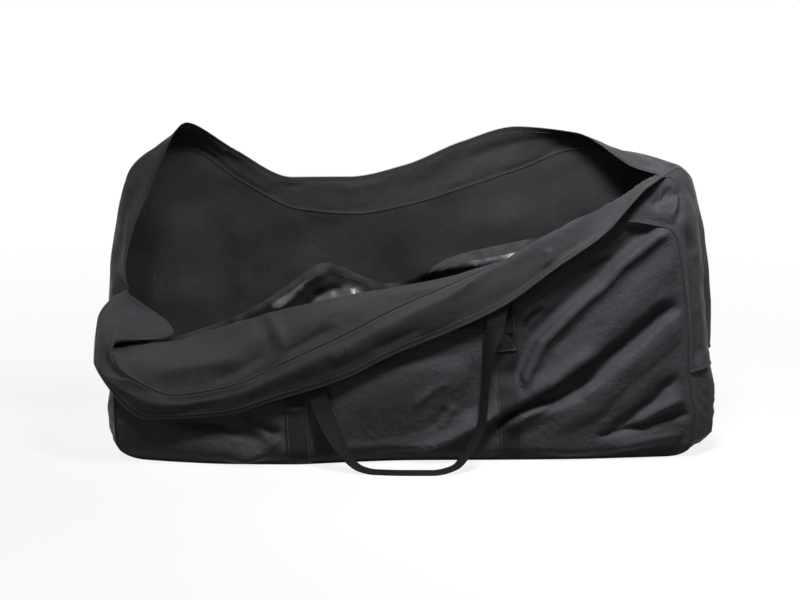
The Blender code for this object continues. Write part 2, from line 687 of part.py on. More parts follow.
def handle(name, points, turns, facing, slot):
    """Handle loop through points, with its origin at its left root. Returns its middle line."""
    rows = even_path(np.column_stack([points, turns]), STRAP_STEP)
    path = rows[:, :3]
    angle = rows[:, 3:] * 2 * math.pi
    toward = np.array([0, facing, 0]) * np.cos(angle) + np.array([0, 0, 1.0]) * np.sin(angle)
    across = np.cross(toward, np.gradient(path, axis=0))
    ends = ((0, unit(path[1] - path[0])), (-1, unit(path[-1] - path[-2])))
    made = strap_ribbon(name, path, unit(across), unit(path[-1] - path[0]), ends, slot)
    made.data.transform(Matrix.Translation(-Vector(path[0])))
    made.location = path[0]
    return path


def handle_roots(side, climbs, path, facing, slot):
    """Strap ends that climb over their patches, bend outward and fall to where a handle swings free."""
    axis = unit(path[-1] - path[0])
    turn = np.linspace(0, math.pi, BEND_STEPS + 1)[1:, None]
    outward = np.array([0, facing, 0]) * STRAP_BEND_RADIUS
    upward = np.array([0, 0, STRAP_BEND_RADIUS])
    for hand, climb, loop_end in zip(("left", "right"), climbs, (path[:2], path[:-3:-1])):
        bend = climb[-1] + outward * (1 - np.cos(turn)) + upward * np.sin(turn)
        run = unit(loop_end[0] - loop_end[1])
        gap = (WEBBING_THICKNESS / 2 + HINGE_CLEARANCE) / np.linalg.norm(np.cross(run, axis))
        end = loop_end[0] + run * gap
        lead = end + run * min(HANDLE_WIDTH, np.linalg.norm(end - bend[-1]) / 2)
        fall = even_path([bend[-1], lead, end], STRAP_STEP)
        strap = np.concatenate([climb, bend, fall[1:]])
        across = np.tile([1.0, 0, 0], (len(strap), 1))
        strap_ribbon(f"{hand}_{side}_handle_root", strap, across, axis, ((-1, -run),), slot)


def webbing_columns():
    """Columns of the walls at the two edges of each webbing."""
    edges = list(itertools.accumulate(COLUMN_COUNTS))
    return (("left", (edges[0], edges[1])), ("right", (edges[2], edges[3])))


def wall_cloths(side, grid, normals, edge, slot):
    """Cloths of a wall from the left to the right, joined under the middles of its webbings."""
    joins = [sum(columns) // 2 for _, columns in webbing_columns()]
    marks = [0, *joins, grid.shape[1] - 1]
    for hand, first, last in zip(("left", "middle", "right"), marks, marks[1:]):
        cloth = grid[:, first : last + 1].copy()
        if first:
            cloth[:, 0] += unit(cloth[:, 1] - cloth[:, 0]) * SEAM_GAP
        if last < marks[-1]:
            cloth[:, -1] += unit(cloth[:, -2] - cloth[:, -1]) * SEAM_GAP
        part = normals[:, first : last + 1]
        sheet(f"{side}_{hand}_panel", cloth, -FABRIC / 2, FABRIC / 2, slot, part, [edge])


# Zip hardware, in its own frame: X is the way the slider runs, Z is outward


def prism(outline, low, high, axis):
    """Solid between two copies of an outline along Y or Z."""
    count = len(outline)
    points = []
    for level in (low, high):
        for a, b in outline:
            points.append((a, b, level) if axis == "Z" else (a, level, b))
    faces = [tuple(range(count)), tuple(range(count, 2 * count))]
    faces += [(i, (i + 1) % count, (i + 1) % count + count, i + count) for i in range(count)]
    return points, faces


def chamfered(length, width, corner):
    """Outline of a rectangle with cut corners, round the origin."""
    a = length / 2
    b = width / 2
    outline = [(-a + corner, -b), (a - corner, -b), (a, -b + corner), (a, b - corner)]
    return outline + [(-p, -q) for p, q in outline]


def combined(name, solids, slot, operation="UNION"):
    """Mesh of the first solid with the others joined to it or cut from it."""
    made = [add_object(f"{name}_{i}", *solid, slot, smooth=False) for i, solid in enumerate(solids)]
    for other in made[1:]:
        step = made[0].modifiers.new(other.name, "BOOLEAN")
        step.operation = operation
        step.object = other
    bpy.context.view_layer.update()
    graph = bpy.context.evaluated_depsgraph_get()
    mesh = bpy.data.meshes.new_from_object(made[0].evaluated_get(graph))
    for old in made:
        bpy.data.objects.remove(old, do_unlink=True)
    mesh.name = name
    return mesh


def coil_top():
    """Inner face of the slider's plates above the middle of the tape."""
    return COIL_RADIUS + ZIP_CLEARANCE


def plate_top():
    """Outer face of the slider's upper plate above the middle of the tape."""
    return coil_top() + SLIDER_PLATE


def slider_mesh(slot):
    """Slider: two plates round the coils, joined by a post in the slit, with a bridge on top."""
    wide = SLIDER_WIDTH / 2
    rim = ZIP_SLIT / 2 + 2 * COIL_RADIUS + ZIP_CLEARANCE
    lip = TAPE_THICKNESS / 2 + ZIP_CLEARANCE
    bite = SLIDER_PLATE / 4
    corner = SLIDER_PLATE
    outline = chamfered(SLIDER_LENGTH, SLIDER_WIDTH, corner)
    half = SLIDER_LENGTH / 2
    post = ZIP_SLIT / 2 - ZIP_CLEARANCE
    solids = [prism(outline, coil_top(), plate_top(), "Z")]
    solids.append(prism(outline, -plate_top(), -coil_top(), "Z"))
    low = (bite - half, -post, -coil_top() - bite)
    high = (SLIDER_POST_LENGTH - half, post, coil_top() + bite)
    solids.append(box(low, high))
    for side in (-1, 1):
        for up in (-1, 1):
            y = sorted((side * rim, side * (wide - bite / 4)))
            z = sorted((up * lip, up * (coil_top() + bite)))
            solids.append(box((-half + corner, y[0], z[0]), (half - corner, y[1], z[1])))
    inside = BRIDGE_INSIDE_LENGTH / 2
    outside = inside + BRIDGE_BAR
    floor = plate_top() - bite
    ceiling = plate_top() + BRIDGE_INSIDE_HEIGHT
    crown = ceiling + BRIDGE_BAR
    arch = [(-outside, floor), (-outside, crown - BRIDGE_BAR), (-inside, crown), (inside, crown)]
    arch += [(outside, crown - BRIDGE_BAR), (outside, floor), (inside, floor)]
    arch += [(inside, ceiling - bite), (inside - bite, ceiling), (bite - inside, ceiling)]
    arch += [(-inside, ceiling - bite), (-inside, floor)]
    solids.append(prism(arch, -BRIDGE_WIDTH / 2, BRIDGE_WIDTH / 2, "Y"))
    return combined("slider", solids, slot)


def pull_height():
    """Height of the pull's bar above the middle of the tape, halfway up inside the bridge."""
    return plate_top() + BRIDGE_INSIDE_HEIGHT / 2


def pull_mesh(slot):
    """Pull tab, lying along X from the bar that passes under the bridge."""
    bar = PULL_THICKNESS / 2
    slot_width = BRIDGE_WIDTH / 2 + 2 * ZIP_CLEARANCE
    slot_end = BRIDGE_INSIDE_LENGTH / 2 + BRIDGE_BAR + BRIDGE_INSIDE_HEIGHT
    wide = PULL_WIDTH / 2
    outline = chamfered(PULL_LENGTH, PULL_WIDTH, PULL_CORNER)
    outline = [(x + PULL_LENGTH / 2 - bar, y) for x, y in outline]
    tab = prism(outline, -bar, bar, "Z")
    cut = 2 * bar
    window = box((bar, -slot_width, -cut), (slot_end, slot_width, cut))
    hole = PULL_HOLE / 2
    middle = PULL_LENGTH - bar - wide
    angles = np.arange(0, 2 * math.pi, math.pi / 4)
    ring = [(middle + hole * math.cos(a), hole * math.sin(a)) for a in angles]
    return combined("pull", [tab, window, prism(ring, -cut, cut, "Z")], slot, "DIFFERENCE")


def place(name, mesh, origin, run, outward):
    """Object whose X lies along run and whose Z points outward."""
    x = Vector(run).normalized()
    z = Vector(outward)
    z = (z - x * z.dot(x)).normalized()
    y = z.cross(x)
    made = bpy.data.objects.new(name, mesh)
    bpy.context.scene.collection.objects.link(made)
    turn = Matrix((x, y, z)).transposed().to_4x4()
    made.matrix_world = Matrix.Translation(origin) @ turn
    return made


def stop_mesh(slot):
    """Metal stop clamped on the coils at the end of a zip."""
    outline = chamfered(STOP_LENGTH, SLIDER_WIDTH * 2 / 3, BRIDGE_BAR / 2)
    return combined("stop", [prism(outline, 0, SLIDER_PLATE, "Z")], slot)


def zip_set(name, head, tail, outward, meshes):
    """Slider and pull parked at the head of a shut stretch, and the stop near its tail."""
    head = np.array(head)
    tail = np.array(tail)
    run = unit(tail - head)
    out = unit(np.array(outward) - run * np.dot(outward, run))
    start = head + run * (SLIDER_LENGTH / 2 + SLIDER_POST_LENGTH / 2)
    place(f"{name}_slider", meshes["slider"], start, run, out)
    place(f"{name}_pull", meshes["pull"], start + out * pull_height(), run, out)
    end = tail - run * 2 * STOP_LENGTH
    place(f"{name}_zip_stop", meshes["stop"], end + out * coil_top(), run, out)


def pocket(front, normals, shell, tape):
    """Patch pocket between the webbings, with a straight zip. Returns the two ends of the zip."""
    (_, left), (_, right) = webbing_columns()
    columns = range(left[1], right[0] + 1)
    span = front[:, left[1] : right[0] + 1]
    half = POCKET_FABRIC / 2
    low = FABRIC / 2 + SEAM_GAP + half
    zip_height = POCKET_ZIP_SHARE * BAG_HEIGHT
    under = zip_height - POCKET_ZIP_MARGIN
    nearest = min(front[row_near(front, c, under), c, 1] for c in columns)
    proud = nearest - low - plate_top() - 2 * ZIP_CLEARANCE
    ends = span[row_near(front, left[1], zip_height)][[0, -1], 0]
    xs = np.linspace(ends[0] + POCKET_ZIP_MARGIN / 2, ends[1] - POCKET_ZIP_MARGIN / 2, len(columns))
    flat = np.stack([xs, np.full_like(xs, proud), np.full_like(xs, zip_height)], axis=1)

    reach = ZIP_SLIT / 2 + TAPE_WIDTH + SEAM_GAP + half
    level = zip_height - reach - POCKET_ZIP_MARGIN
    top = min(row_near(front, c, level) for c in columns)
    foot = row_near(front, left[1], POCKET_FOOT)
    part = (slice(foot, top + 1), slice(left[1], right[0] + 1))
    body = front[part] + normals[part] * low
    panel = np.concatenate([body, (flat - np.array([0, 0, reach]))[None]])
    level = zip_height + reach + POCKET_ZIP_MARGIN
    upper = [at_level(front, normals, c, level, low + SEAM_GAP) for c in columns]
    header = np.stack([flat + np.array([0, 0, reach]), np.array(upper)])
    for name, grid in (("pocket_panel", panel), ("pocket_header", header)):
        grid[:, 0, 0] += 2 * SEAM_GAP
        grid[:, -1, 0] -= 2 * SEAM_GAP
        sheet(name, grid, -half, half, shell)

    for name, up in (("pocket_lower_tape", -1), ("pocket_upper_tape", 1)):
        lip = flat[[0, -1]] + np.array([0, 0, up * ZIP_SLIT / 2])
        back = lip + np.array([0, 0, up * TAPE_WIDTH])
        strip = np.stack([back, (back + lip) / 2, lip], axis=1)
        sweep(name, tape_rings(strip), tape)
    return flat[0], flat[-1]


def divider(fabric, trim):
    """Wheel divider standing on the base, and the binding along its top edge."""
    u = np.linspace(0, 1, DIVIDER_STEPS + 1)
    middle = DIVIDER_SHIFT_SHARE * PANEL_LENGTH
    x = (u - 1 / 2) * DIVIDER_LENGTH
    y = along(DIVIDER_Y_SHARES, u) * BAG_DEPTH
    top = along(DIVIDER_TOP_SHARES, u) * BAG_HEIGHT
    low = BASE_THICKNESS + SEAM_GAP
    grid = []
    for t in np.linspace(0, 1, DIVIDER_RISE_STEPS + 1):
        z = low + (top - low) * t
        draw = np.maximum(1 - z / (2 * CORNER_RADIUS), 0) ** 2 * 2 * CORNER_RADIUS / DIVIDER_LENGTH
        grid.append(np.stack([middle + x * (1 - draw), y, z], axis=1))
    grid = np.array(grid)
    half = DIVIDER_THICKNESS / 2
    normals = grid_normals(grid)
    sheet("wheel_divider", grid, -half, half, fabric)
    edge = grid[-1] + np.array([0, 0, SEAM_GAP + BINDING_HEIGHT / 2])
    run = unit(np.gradient(edge, axis=0))
    side = unit(normals[-1] - run * (normals[-1] * run).sum(axis=1, keepdims=True))
    up = np.array([0, 0, 1.0])
    corners = np.array([(-3, -3), (3, -3), (3, 2), (2, 3), (-2, 3), (-3, 2)]) / 6
    rings = [edge + side * a * BINDING_THICKNESS + up * b * BINDING_HEIGHT for a, b in corners]
    sweep("divider_binding", np.stack(rings, axis=1), trim)


def straps(side, wall, normals, facing, strap):
    """Sewn webbings and stitched patches of one wall, and the way the strap climbs over each patch."""
    first = FABRIC / 2 + SEAM_GAP
    second = first + WEBBING_THICKNESS + SEAM_GAP
    third = second + ANCHOR_THICKNESS + SEAM_GAP + WEBBING_THICKNESS / 2
    lift = np.array([0, facing * 2 * SEAM_GAP, 0])
    climbs = []
    for k, (hand, columns) in enumerate(webbing_columns()):
        top = row_near(wall, columns[0], ANCHOR_TOP_SHARES[side][k] * BAG_HEIGHT)
        low = top - ANCHOR_STEPS[side][k]
        last = top + CLIMB_STEPS[side][k]
        webbing = (wall, normals, (0, last), columns, first, WEBBING_THICKNESS, strap)
        patch = (wall, normals, (low, top), columns, second, ANCHOR_THICKNESS, strap)
        layer(f"{hand}_{side}_webbing", *webbing)
        layer(f"{hand}_{side}_patch", *patch)
        part = (slice(low, last + 1), slice(columns[0], columns[1] + 1))
        middles = (wall[part] + normals[part] * third).mean(axis=1) + lift
        start = (middles[0] + middles[top - low]) / 2
        climbs.append(np.array([start, *middles[top - low :]]))
    return climbs


def front_straps(wall, normals, strap):
    """Front webbings, and the long handle with its two roots hanging from the patches."""
    climbs = straps("front", wall, normals, -1, strap)
    turns = np.array([row[3] for row in FRONT_HANDLE_SHARES])
    scale = np.array([WEBBING_SPACING, BAG_DEPTH, FRONT_HANDLE_ROOT_SHARE * BAG_HEIGHT])
    points = np.array([row[:3] for row in FRONT_HANDLE_SHARES]) * scale
    path = handle("front_handle", points, turns, -1, strap)
    handle_roots("front", climbs, path, -1, strap)


def back_straps(wall, normals, strap):
    """Back webbings, and the handle that hangs between the two roots on their patches."""
    climbs = straps("back", wall, normals, 1, strap)
    root = np.array([0, 2 * STRAP_BEND_RADIUS, -BACK_ROOT_DROP])
    first, last = (climb[-1] + root for climb in climbs)
    points = []
    for a, b, c, _ in BACK_HANDLE_SHARES:
        drop = np.array([0, b * BACK_HANDLE_STANDOFF, (c - 1) * BACK_HANDLE_DROP])
        points.append(first + (last - first) * a + drop)
    turns = np.array([row[3] for row in BACK_HANDLE_SHARES])
    path = handle("back_handle", np.array(points), turns, 1, strap)
    handle_roots("back", climbs, path, 1, strap)


def clear_scene():
    """Removes whatever objects the scene holds."""
    for old in list(bpy.data.objects):
        bpy.data.objects.remove(old, do_unlink=True)


def main():
    """Builds the bag, wall by wall and then its fittings."""
    clear_scene()
    shell, coated, piping, tape, strap, metal = (material(name) for name in MATERIALS)

    walls = {}
    for name, profile, shifts, facing in (
        ("front", front_profile, FRONT_SHIFTS, 1),
        ("back", back_profile, BACK_SHIFTS, -1),
    ):
        seams = wall_grid(profile, shifts, 0.0)
        grid = wall_grid(profile, shifts, TRIM)
        normals = grid_normals(grid) * facing
        loop = seam_loop(seams)
        edge = np.append(loop, loop[:1], axis=0)
        wall_cloths(name, grid, normals, edge, shell)
        sweep(f"{name}_piping", tube_rings(loop, PIPING_RADIUS), piping, closed=True)
        walls[name] = (seams, grid, normals)
    front_seams, front, front_normals = walls["front"]
    back_seams, back, back_normals = walls["back"]
    base_wall("base_panel", front_seams[0], back_seams[0], shell)

    folds = {}
    for name, seams, table, opens, side in (
        ("front", front_seams, FRONT_GUSSET_SHARES, FRONT_OPEN_PLACE_SHARES, -1),
        ("back", back_seams, BACK_GUSSET_SHARES, BACK_OPEN_PLACE_SHARES, 1),
    ):
        seam, places, out = gusset_seam(seams)
        folds[name], lips, shut = gusset_lines(table, opens, places, side)
        fabric, strip = gusset_strips(seam, out, folds[name], lips, shut, side)
        sheet(f"{name}_zip_gusset", fabric, -FABRIC / 2, FABRIC / 2, shell, seams=[seam])
        sweep(f"{name}_zip_tape", tape_rings(strip), tape)

    meshes = {"slider": slider_mesh(metal), "pull": pull_mesh(metal), "stop": stop_mesh(metal)}
    for name, k, belly, sign in (
        ("left", 0, LEFT_BELLY_SHARES, -1),
        ("right", -1, RIGHT_BELLY_SHARES, 1),
    ):
        ends = (front_seams[: CROSS_ROW + 1, k], back_seams[: CROSS_ROW + 1, k])
        head = real(OPEN_LIPS[name])
        tail = real(FRONT_GUSSET_SHARES[k][2])
        end_folds = (folds["front"][k], folds["back"][k])
        end_wall(f"{name}_end_panel", ends, end_folds, tail, belly, shell)
        zip_set(name, head, tail, (sign, 0, 0), meshes)

    divider(coated, tape)
    front_straps(front, front_normals, strap)
    back_straps(back, back_normals, strap)
    head, tail = pocket(front, front_normals, shell, tape)
    zip_set("pocket", head, tail, (0, -1, 0), meshes)


main()
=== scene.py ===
# %% [markdown]
# # A soft travel bag with its long zip run open
# The bag is sewn from two large cloth walls, a zip gusset between them, and a padded base.
# Nobody holds the front wall up, so its upper part hangs outward over itself like a collar.
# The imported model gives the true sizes. Here each cloth is made again with its folds, seams and stitches.

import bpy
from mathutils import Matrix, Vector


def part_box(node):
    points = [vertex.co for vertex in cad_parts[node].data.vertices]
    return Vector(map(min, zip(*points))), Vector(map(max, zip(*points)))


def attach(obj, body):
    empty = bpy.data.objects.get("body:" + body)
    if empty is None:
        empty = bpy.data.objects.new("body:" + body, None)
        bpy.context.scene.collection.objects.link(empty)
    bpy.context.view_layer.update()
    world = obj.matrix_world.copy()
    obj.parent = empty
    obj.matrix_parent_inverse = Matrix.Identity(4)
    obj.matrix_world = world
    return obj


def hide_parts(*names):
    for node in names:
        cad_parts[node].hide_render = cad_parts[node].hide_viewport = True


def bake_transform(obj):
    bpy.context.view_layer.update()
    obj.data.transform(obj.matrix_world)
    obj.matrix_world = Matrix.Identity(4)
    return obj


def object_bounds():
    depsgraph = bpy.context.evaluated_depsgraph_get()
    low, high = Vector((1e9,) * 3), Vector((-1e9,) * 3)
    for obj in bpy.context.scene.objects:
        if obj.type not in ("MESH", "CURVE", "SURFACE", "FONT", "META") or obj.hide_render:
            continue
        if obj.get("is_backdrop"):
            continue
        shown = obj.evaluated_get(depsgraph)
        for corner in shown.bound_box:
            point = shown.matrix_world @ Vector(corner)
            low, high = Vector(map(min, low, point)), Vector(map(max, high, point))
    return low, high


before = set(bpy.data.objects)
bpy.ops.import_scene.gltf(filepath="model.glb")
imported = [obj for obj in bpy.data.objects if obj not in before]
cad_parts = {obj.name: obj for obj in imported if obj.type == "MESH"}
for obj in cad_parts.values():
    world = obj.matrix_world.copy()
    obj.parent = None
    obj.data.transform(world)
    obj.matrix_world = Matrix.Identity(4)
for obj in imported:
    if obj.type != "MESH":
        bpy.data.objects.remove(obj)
cad_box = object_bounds()

# %% Modules
import math
from functools import partial

import bpy
import numpy as np
from mathutils import Vector, noise

# %% [markdown]
# ## Camera
# The photograph was taken from straight in front and a little above, from a few metres away.
# The camera comes first, because the folds are placed as they are seen in its picture.

# %% Camera
VIEW_TARGET = np.array([0.0, -0.1, 0.344])
VIEW_DISTANCE = 4.5
VIEW_ELEVATION = math.radians(12)
# The picture has this many pixels to the metre, this far in front of the target
PIXELS_PER_METRE, SCALE_PLACE = 478, 0.025
VIEW_SCALE = PIXELS_PER_METRE * (VIEW_DISTANCE - SCALE_PLACE)
VIEW_MIDDLE = (407, 300)
PICTURE_WIDTH = 800
SENSOR = 36

view_back = np.array([0, -math.cos(VIEW_ELEVATION), math.sin(VIEW_ELEVATION)])
view_place = VIEW_TARGET + view_back * VIEW_DISTANCE
bpy.ops.object.camera_add(location=view_place, rotation=(math.pi / 2 - VIEW_ELEVATION, 0, 0))
camera = bpy.context.object
camera.data.lens = SENSOR * VIEW_SCALE / PICTURE_WIDTH
camera.data.sensor_width = SENSOR
camera.data.shift_x = (PICTURE_WIDTH / 2 - VIEW_MIDDLE[0]) / PICTURE_WIDTH
bpy.context.scene.camera = camera


def picture_place(points):
    """Where points are seen in the picture, as columns and rows of pixels."""
    away = points - view_place
    up = np.cross([1.0, 0, 0], -view_back)
    scale = VIEW_SCALE / (away @ -view_back)
    return VIEW_MIDDLE[0] + scale * away[..., 0], VIEW_MIDDLE[1] - scale * (away @ up)


print("camera lens", round(camera.data.lens, 1), "mm")

# %% [markdown]
# ## Light and floor
# A product photograph has a white sweep and soft lamps. The world is white for the camera and for
# reflections, and dim in the light that it gives. A lamp high in front of the right half draws the
# folds, and a broad weak one opens the shadows from the lower left. A small one lights the flap at the
# left end, and a large one hangs behind.

# %% Light and floor
# Name, place, target, width and height in metres, power in watts, and spread in degrees
LAMPS = (
    ("key_lamp", (0.40, -0.82, 1.78), (0.44, -0.12, 0.22), (0.45, 0.35), 20, 112),
    ("left_fill", (-1.8, -2.6, 0.5), (-0.4, 0.0, 0.15), (1.4, 0.8), 5.6, 180),
    ("flap_lamp", (-0.95, -0.70, 1.35), (-0.60, -0.08, 0.37), (0.3, 0.3), 0.4, 30),
    ("back_lamp", (0.3, 1.8, 2.2), (0.0, 0.0, 0.4), (1.8, 1.0), 18, 180),
)
for name, place, target, size, power, spread in LAMPS:
    bpy.ops.object.light_add(type="AREA", location=place)
    lamp = bpy.context.object
    lamp.name = name
    lamp.rotation_euler = (Vector(target) - Vector(place)).to_track_quat("-Z", "Y").to_euler()
    lamp.data.shape = "RECTANGLE"
    lamp.data.size, lamp.data.size_y = size
    lamp.data.energy = power
    lamp.data.spread = math.radians(spread)
bpy.context.scene.view_settings.view_transform = "Standard"


def plug(tree, node, inputs):
    """Sets the inputs of a node, or links those whose value is the output of another."""
    for key, value in inputs.items():
        if isinstance(value, bpy.types.NodeSocket):
            tree.links.new(value, node.inputs[key])
        else:
            node.inputs[key].default_value = value


def put(tree, kind, inputs=None, **settings):
    """New node with its settings, and with its inputs set or linked."""
    made = tree.nodes.new(kind)
    for key, value in settings.items():
        setattr(made, key, value)
    plug(tree, made, inputs or {})
    return made


def maths(tree, operation, *values):
    """Output of a Math node."""
    return put(tree, "ShaderNodeMath", dict(enumerate(values)), operation=operation).outputs[0]


def ranged(tree, value, start, end, low, high):
    """Output of a Map Range node, from start and end to low and high."""
    return put(tree, "ShaderNodeMapRange", {0: value, 1: start, 2: end, 3: low, 4: high}).outputs[0]


def seen_directly(tree):
    """1 for rays from the camera, and for those in mirrors and glass."""
    path = put(tree, "ShaderNodeLightPath").outputs
    plain = maths(tree, "MAXIMUM", path["Is Camera Ray"], path["Is Glossy Ray"])
    return maths(tree, "MAXIMUM", plain, path["Is Transmission Ray"])


def new_finish(name):
    """New material, with its tree and its shader."""
    made = bpy.data.materials.new(name)
    made.use_nodes = True
    return made, made.node_tree, made.node_tree.nodes["Principled BSDF"]


WHITE = (1, 1, 1, 1)
WORLD_LIGHT = 0.05
world = bpy.data.worlds.new("studio")
bpy.context.scene.world = world
world.use_nodes = True
tree = world.node_tree
tree.nodes.clear()
dim = put(tree, "ShaderNodeBackground", {"Color": WHITE, "Strength": WORLD_LIGHT})
white = put(tree, "ShaderNodeBackground", {"Color": WHITE, "Strength": 1.0})
both = put(tree, "ShaderNodeMixShader", {0: seen_directly(tree), 1: dim.outputs[0], 2: white.outputs[0]})
put(tree, "ShaderNodeOutputWorld", {"Surface": both.outputs[0]})

# The floor glows by itself where the camera sees it, a little less near the bag
FLOOR_SIZE = 60
FLOOR_GREY = 0.12
GLOW_START, GLOW_END = 0.8, 3.0
GLOW_NEAR, GLOW_FAR = 0.86, 1.0
bpy.ops.mesh.primitive_plane_add(size=FLOOR_SIZE, location=(0, 0, 0))
floor = bpy.context.object
floor.name = "floor"
floor_finish, tree, shader = new_finish("floor_white")
place = put(tree, "ShaderNodeTexCoord").outputs["Object"]
away = put(tree, "ShaderNodeVectorMath", {0: place}, operation="LENGTH").outputs["Value"]
glow = ranged(tree, away, GLOW_START, GLOW_END, GLOW_NEAR, GLOW_FAR)
plug(tree, shader, {
    "Base Color": (FLOOR_GREY, FLOOR_GREY, FLOOR_GREY, 1),
    "Roughness": 0.9,
    "Specular IOR Level": 0.0,
    "Emission Color": WHITE,
    "Emission Strength": maths(tree, "MULTIPLY", seen_directly(tree), glow),
})
floor.data.materials.append(floor_finish)
floor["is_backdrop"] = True
print("lamps", len(LAMPS))

# %% [markdown]
# ## Sizes
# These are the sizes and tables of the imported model, in metres or as shares of its length, depth and
# height. Each row of a table runs from the left end of the bag to the right one.

# %% Sizes
PANEL_LENGTH = 1.22
BAG_DEPTH = 0.24
BAG_HEIGHT = 0.70
CORNER_RADIUS = 0.045
TOP_CORNER_RADIUS = 0.025
BASE_THICKNESS = 0.006
SEAM_HEIGHT = 0.0033
CROSS_SEAM_HEIGHT = 0.20
FOOT_BULGE = 0.018
FOOT_BULGE_HEIGHT = 0.032
COLLAR_PUFF = 0.012
SEAM_LEAD = 0.008
TAPE_WIDTH = 0.012
ZIP_SLIT = 0.0014
WEBBING_WIDTH = 0.048
WEBBING_SPACING = 0.448
HANDLE_WIDTH = 0.038
LOW_KNOT, HIGH_KNOT = 0.40, 0.75
# How far a cloth ends short of its seam line
SEAM_EDGE = 0.0012

FRONT_FOOT_Y = (-0.43, -0.56, -0.63, -0.64, -0.57, -0.51, -0.50, -0.49, -0.47, -0.42, -0.36)
FRONT_LOW_Y = (-0.52, -0.62, -0.67, -0.66, -0.62, -0.59, -0.58, -0.57, -0.55, -0.53, -0.50)
FRONT_HIGH_Y = (-0.49, -0.52, -0.55, -0.56, -0.56, -0.55, -0.55, -0.55, -0.56, -0.54, -0.50)
CREST_Y = (-0.49, -0.49, -0.50, -0.51, -0.51, -0.51, -0.51, -0.52, -0.53, -0.525, -0.505)
CREST_Z = (0.355, 0.369, 0.417, 0.467, 0.510, 0.540, 0.574, 0.616, 0.600, 0.640, 0.610)
SEAM_Y = (-0.75, -0.78, -0.79, -0.78, -0.76, -0.72, -0.64, -0.565, -0.53, -0.51, -0.50)
SEAM_Z = (0.305, 0.231, 0.257, 0.329, 0.407, 0.490, 0.558, 0.624, 0.680, 0.738, 0.714)
BACK_FOOT_Y = (0.44, 0.47, 0.48, 0.48, 0.48, 0.48, 0.48, 0.48, 0.48, 0.47, 0.44)
BACK_LOW_Y = (0.47, 0.52, 0.55, 0.56, 0.55, 0.55, 0.56, 0.55, 0.54, 0.51, 0.47)
BACK_HIGH_Y = (0.46, 0.47, 0.50, 0.54, 0.55, 0.54, 0.52, 0.50, 0.49, 0.48, 0.46)
BACK_TOP_Y = (0.46, 0.47, 0.49, 0.51, 0.52, 0.52, 0.50, 0.49, 0.48, 0.47, 0.46)
BACK_TOP_Z = (0.860, 0.905, 0.800, 0.715, 0.700, 0.730, 0.785, 0.845, 0.905, 0.893, 0.845)
FRONT_SHIFTS = ((0.000, 0.006, 0.007, 0.008, 0.004, -0.005), (-0.002, -0.002, -0.014, -0.018, -0.028, -0.042))
BACK_SHIFTS = ((0.024, 0.030, 0.034, 0.030, 0.016, -0.010), (0.032, 0.040, 0.046, 0.040, 0.024, 0.000))
LEFT_BELLY = (1.00, 1.00, 1.15, 1.00)
RIGHT_BELLY = (1.00, 1.00, 1.10, 1.00)

OPEN_LIPS = {"left": (-0.4930, 0.00, 0.493), "right": (0.5060, 0.00, 0.743)}
FRONT_GUSSET = (
    (0.00, (-0.526, -0.25, 0.286), (-0.5250, 0.00, 0.286)),
    (0.20, (-0.507, -0.25, 0.372), (-0.5080, 0.00, 0.395)),
    (0.38, (-0.452, -0.25, 0.424), OPEN_LIPS["left"]),
    (0.55, (-0.490, -0.36, 0.443), (-0.5150, -0.15, 0.479)),
    (0.75, (-0.523, -0.49, 0.405), (-0.5370, -0.33, 0.424)),
    (1.00, (-0.520, -0.72, 0.290), (-0.5370, -0.64, 0.322)),
    (1.10, (-0.410, -0.82, 0.200), (-0.4470, -0.75, 0.154)),
    (1.20, (-0.307, -0.83, 0.222), (-0.3200, -0.76, 0.165)),
    (1.30, (-0.211, -0.83, 0.293), (-0.2150, -0.76, 0.217)),
    (1.40, (-0.116, -0.82, 0.364), (-0.1170, -0.75, 0.269)),
    (1.50, (-0.021, -0.79, 0.446), (-0.0210, -0.73, 0.350)),
    (1.60, (0.074, -0.73, 0.529), (0.0740, -0.70, 0.417)),
    (1.70, (0.169, -0.62, 0.632), (0.1640, -0.69, 0.493)),
    (1.80, (0.263, -0.57, 0.722), (0.2540, -0.67, 0.607)),
    (1.90, (0.361, -0.47, 0.804), (0.3360, -0.62, 0.707)),
    (1.96, (0.426, -0.42, 0.869), (0.4100, -0.54, 0.843)),
    (2.05, (0.471, -0.35, 0.836), (0.4650, -0.21, 0.886)),
    (2.12, (0.486, -0.30, 0.786), (0.4920, -0.08, 0.833)),
    (2.23, (0.497, -0.25, 0.714), OPEN_LIPS["right"]),
    (3.00, (0.530, -0.25, 0.286), (0.5330, 0.00, 0.286)),
)
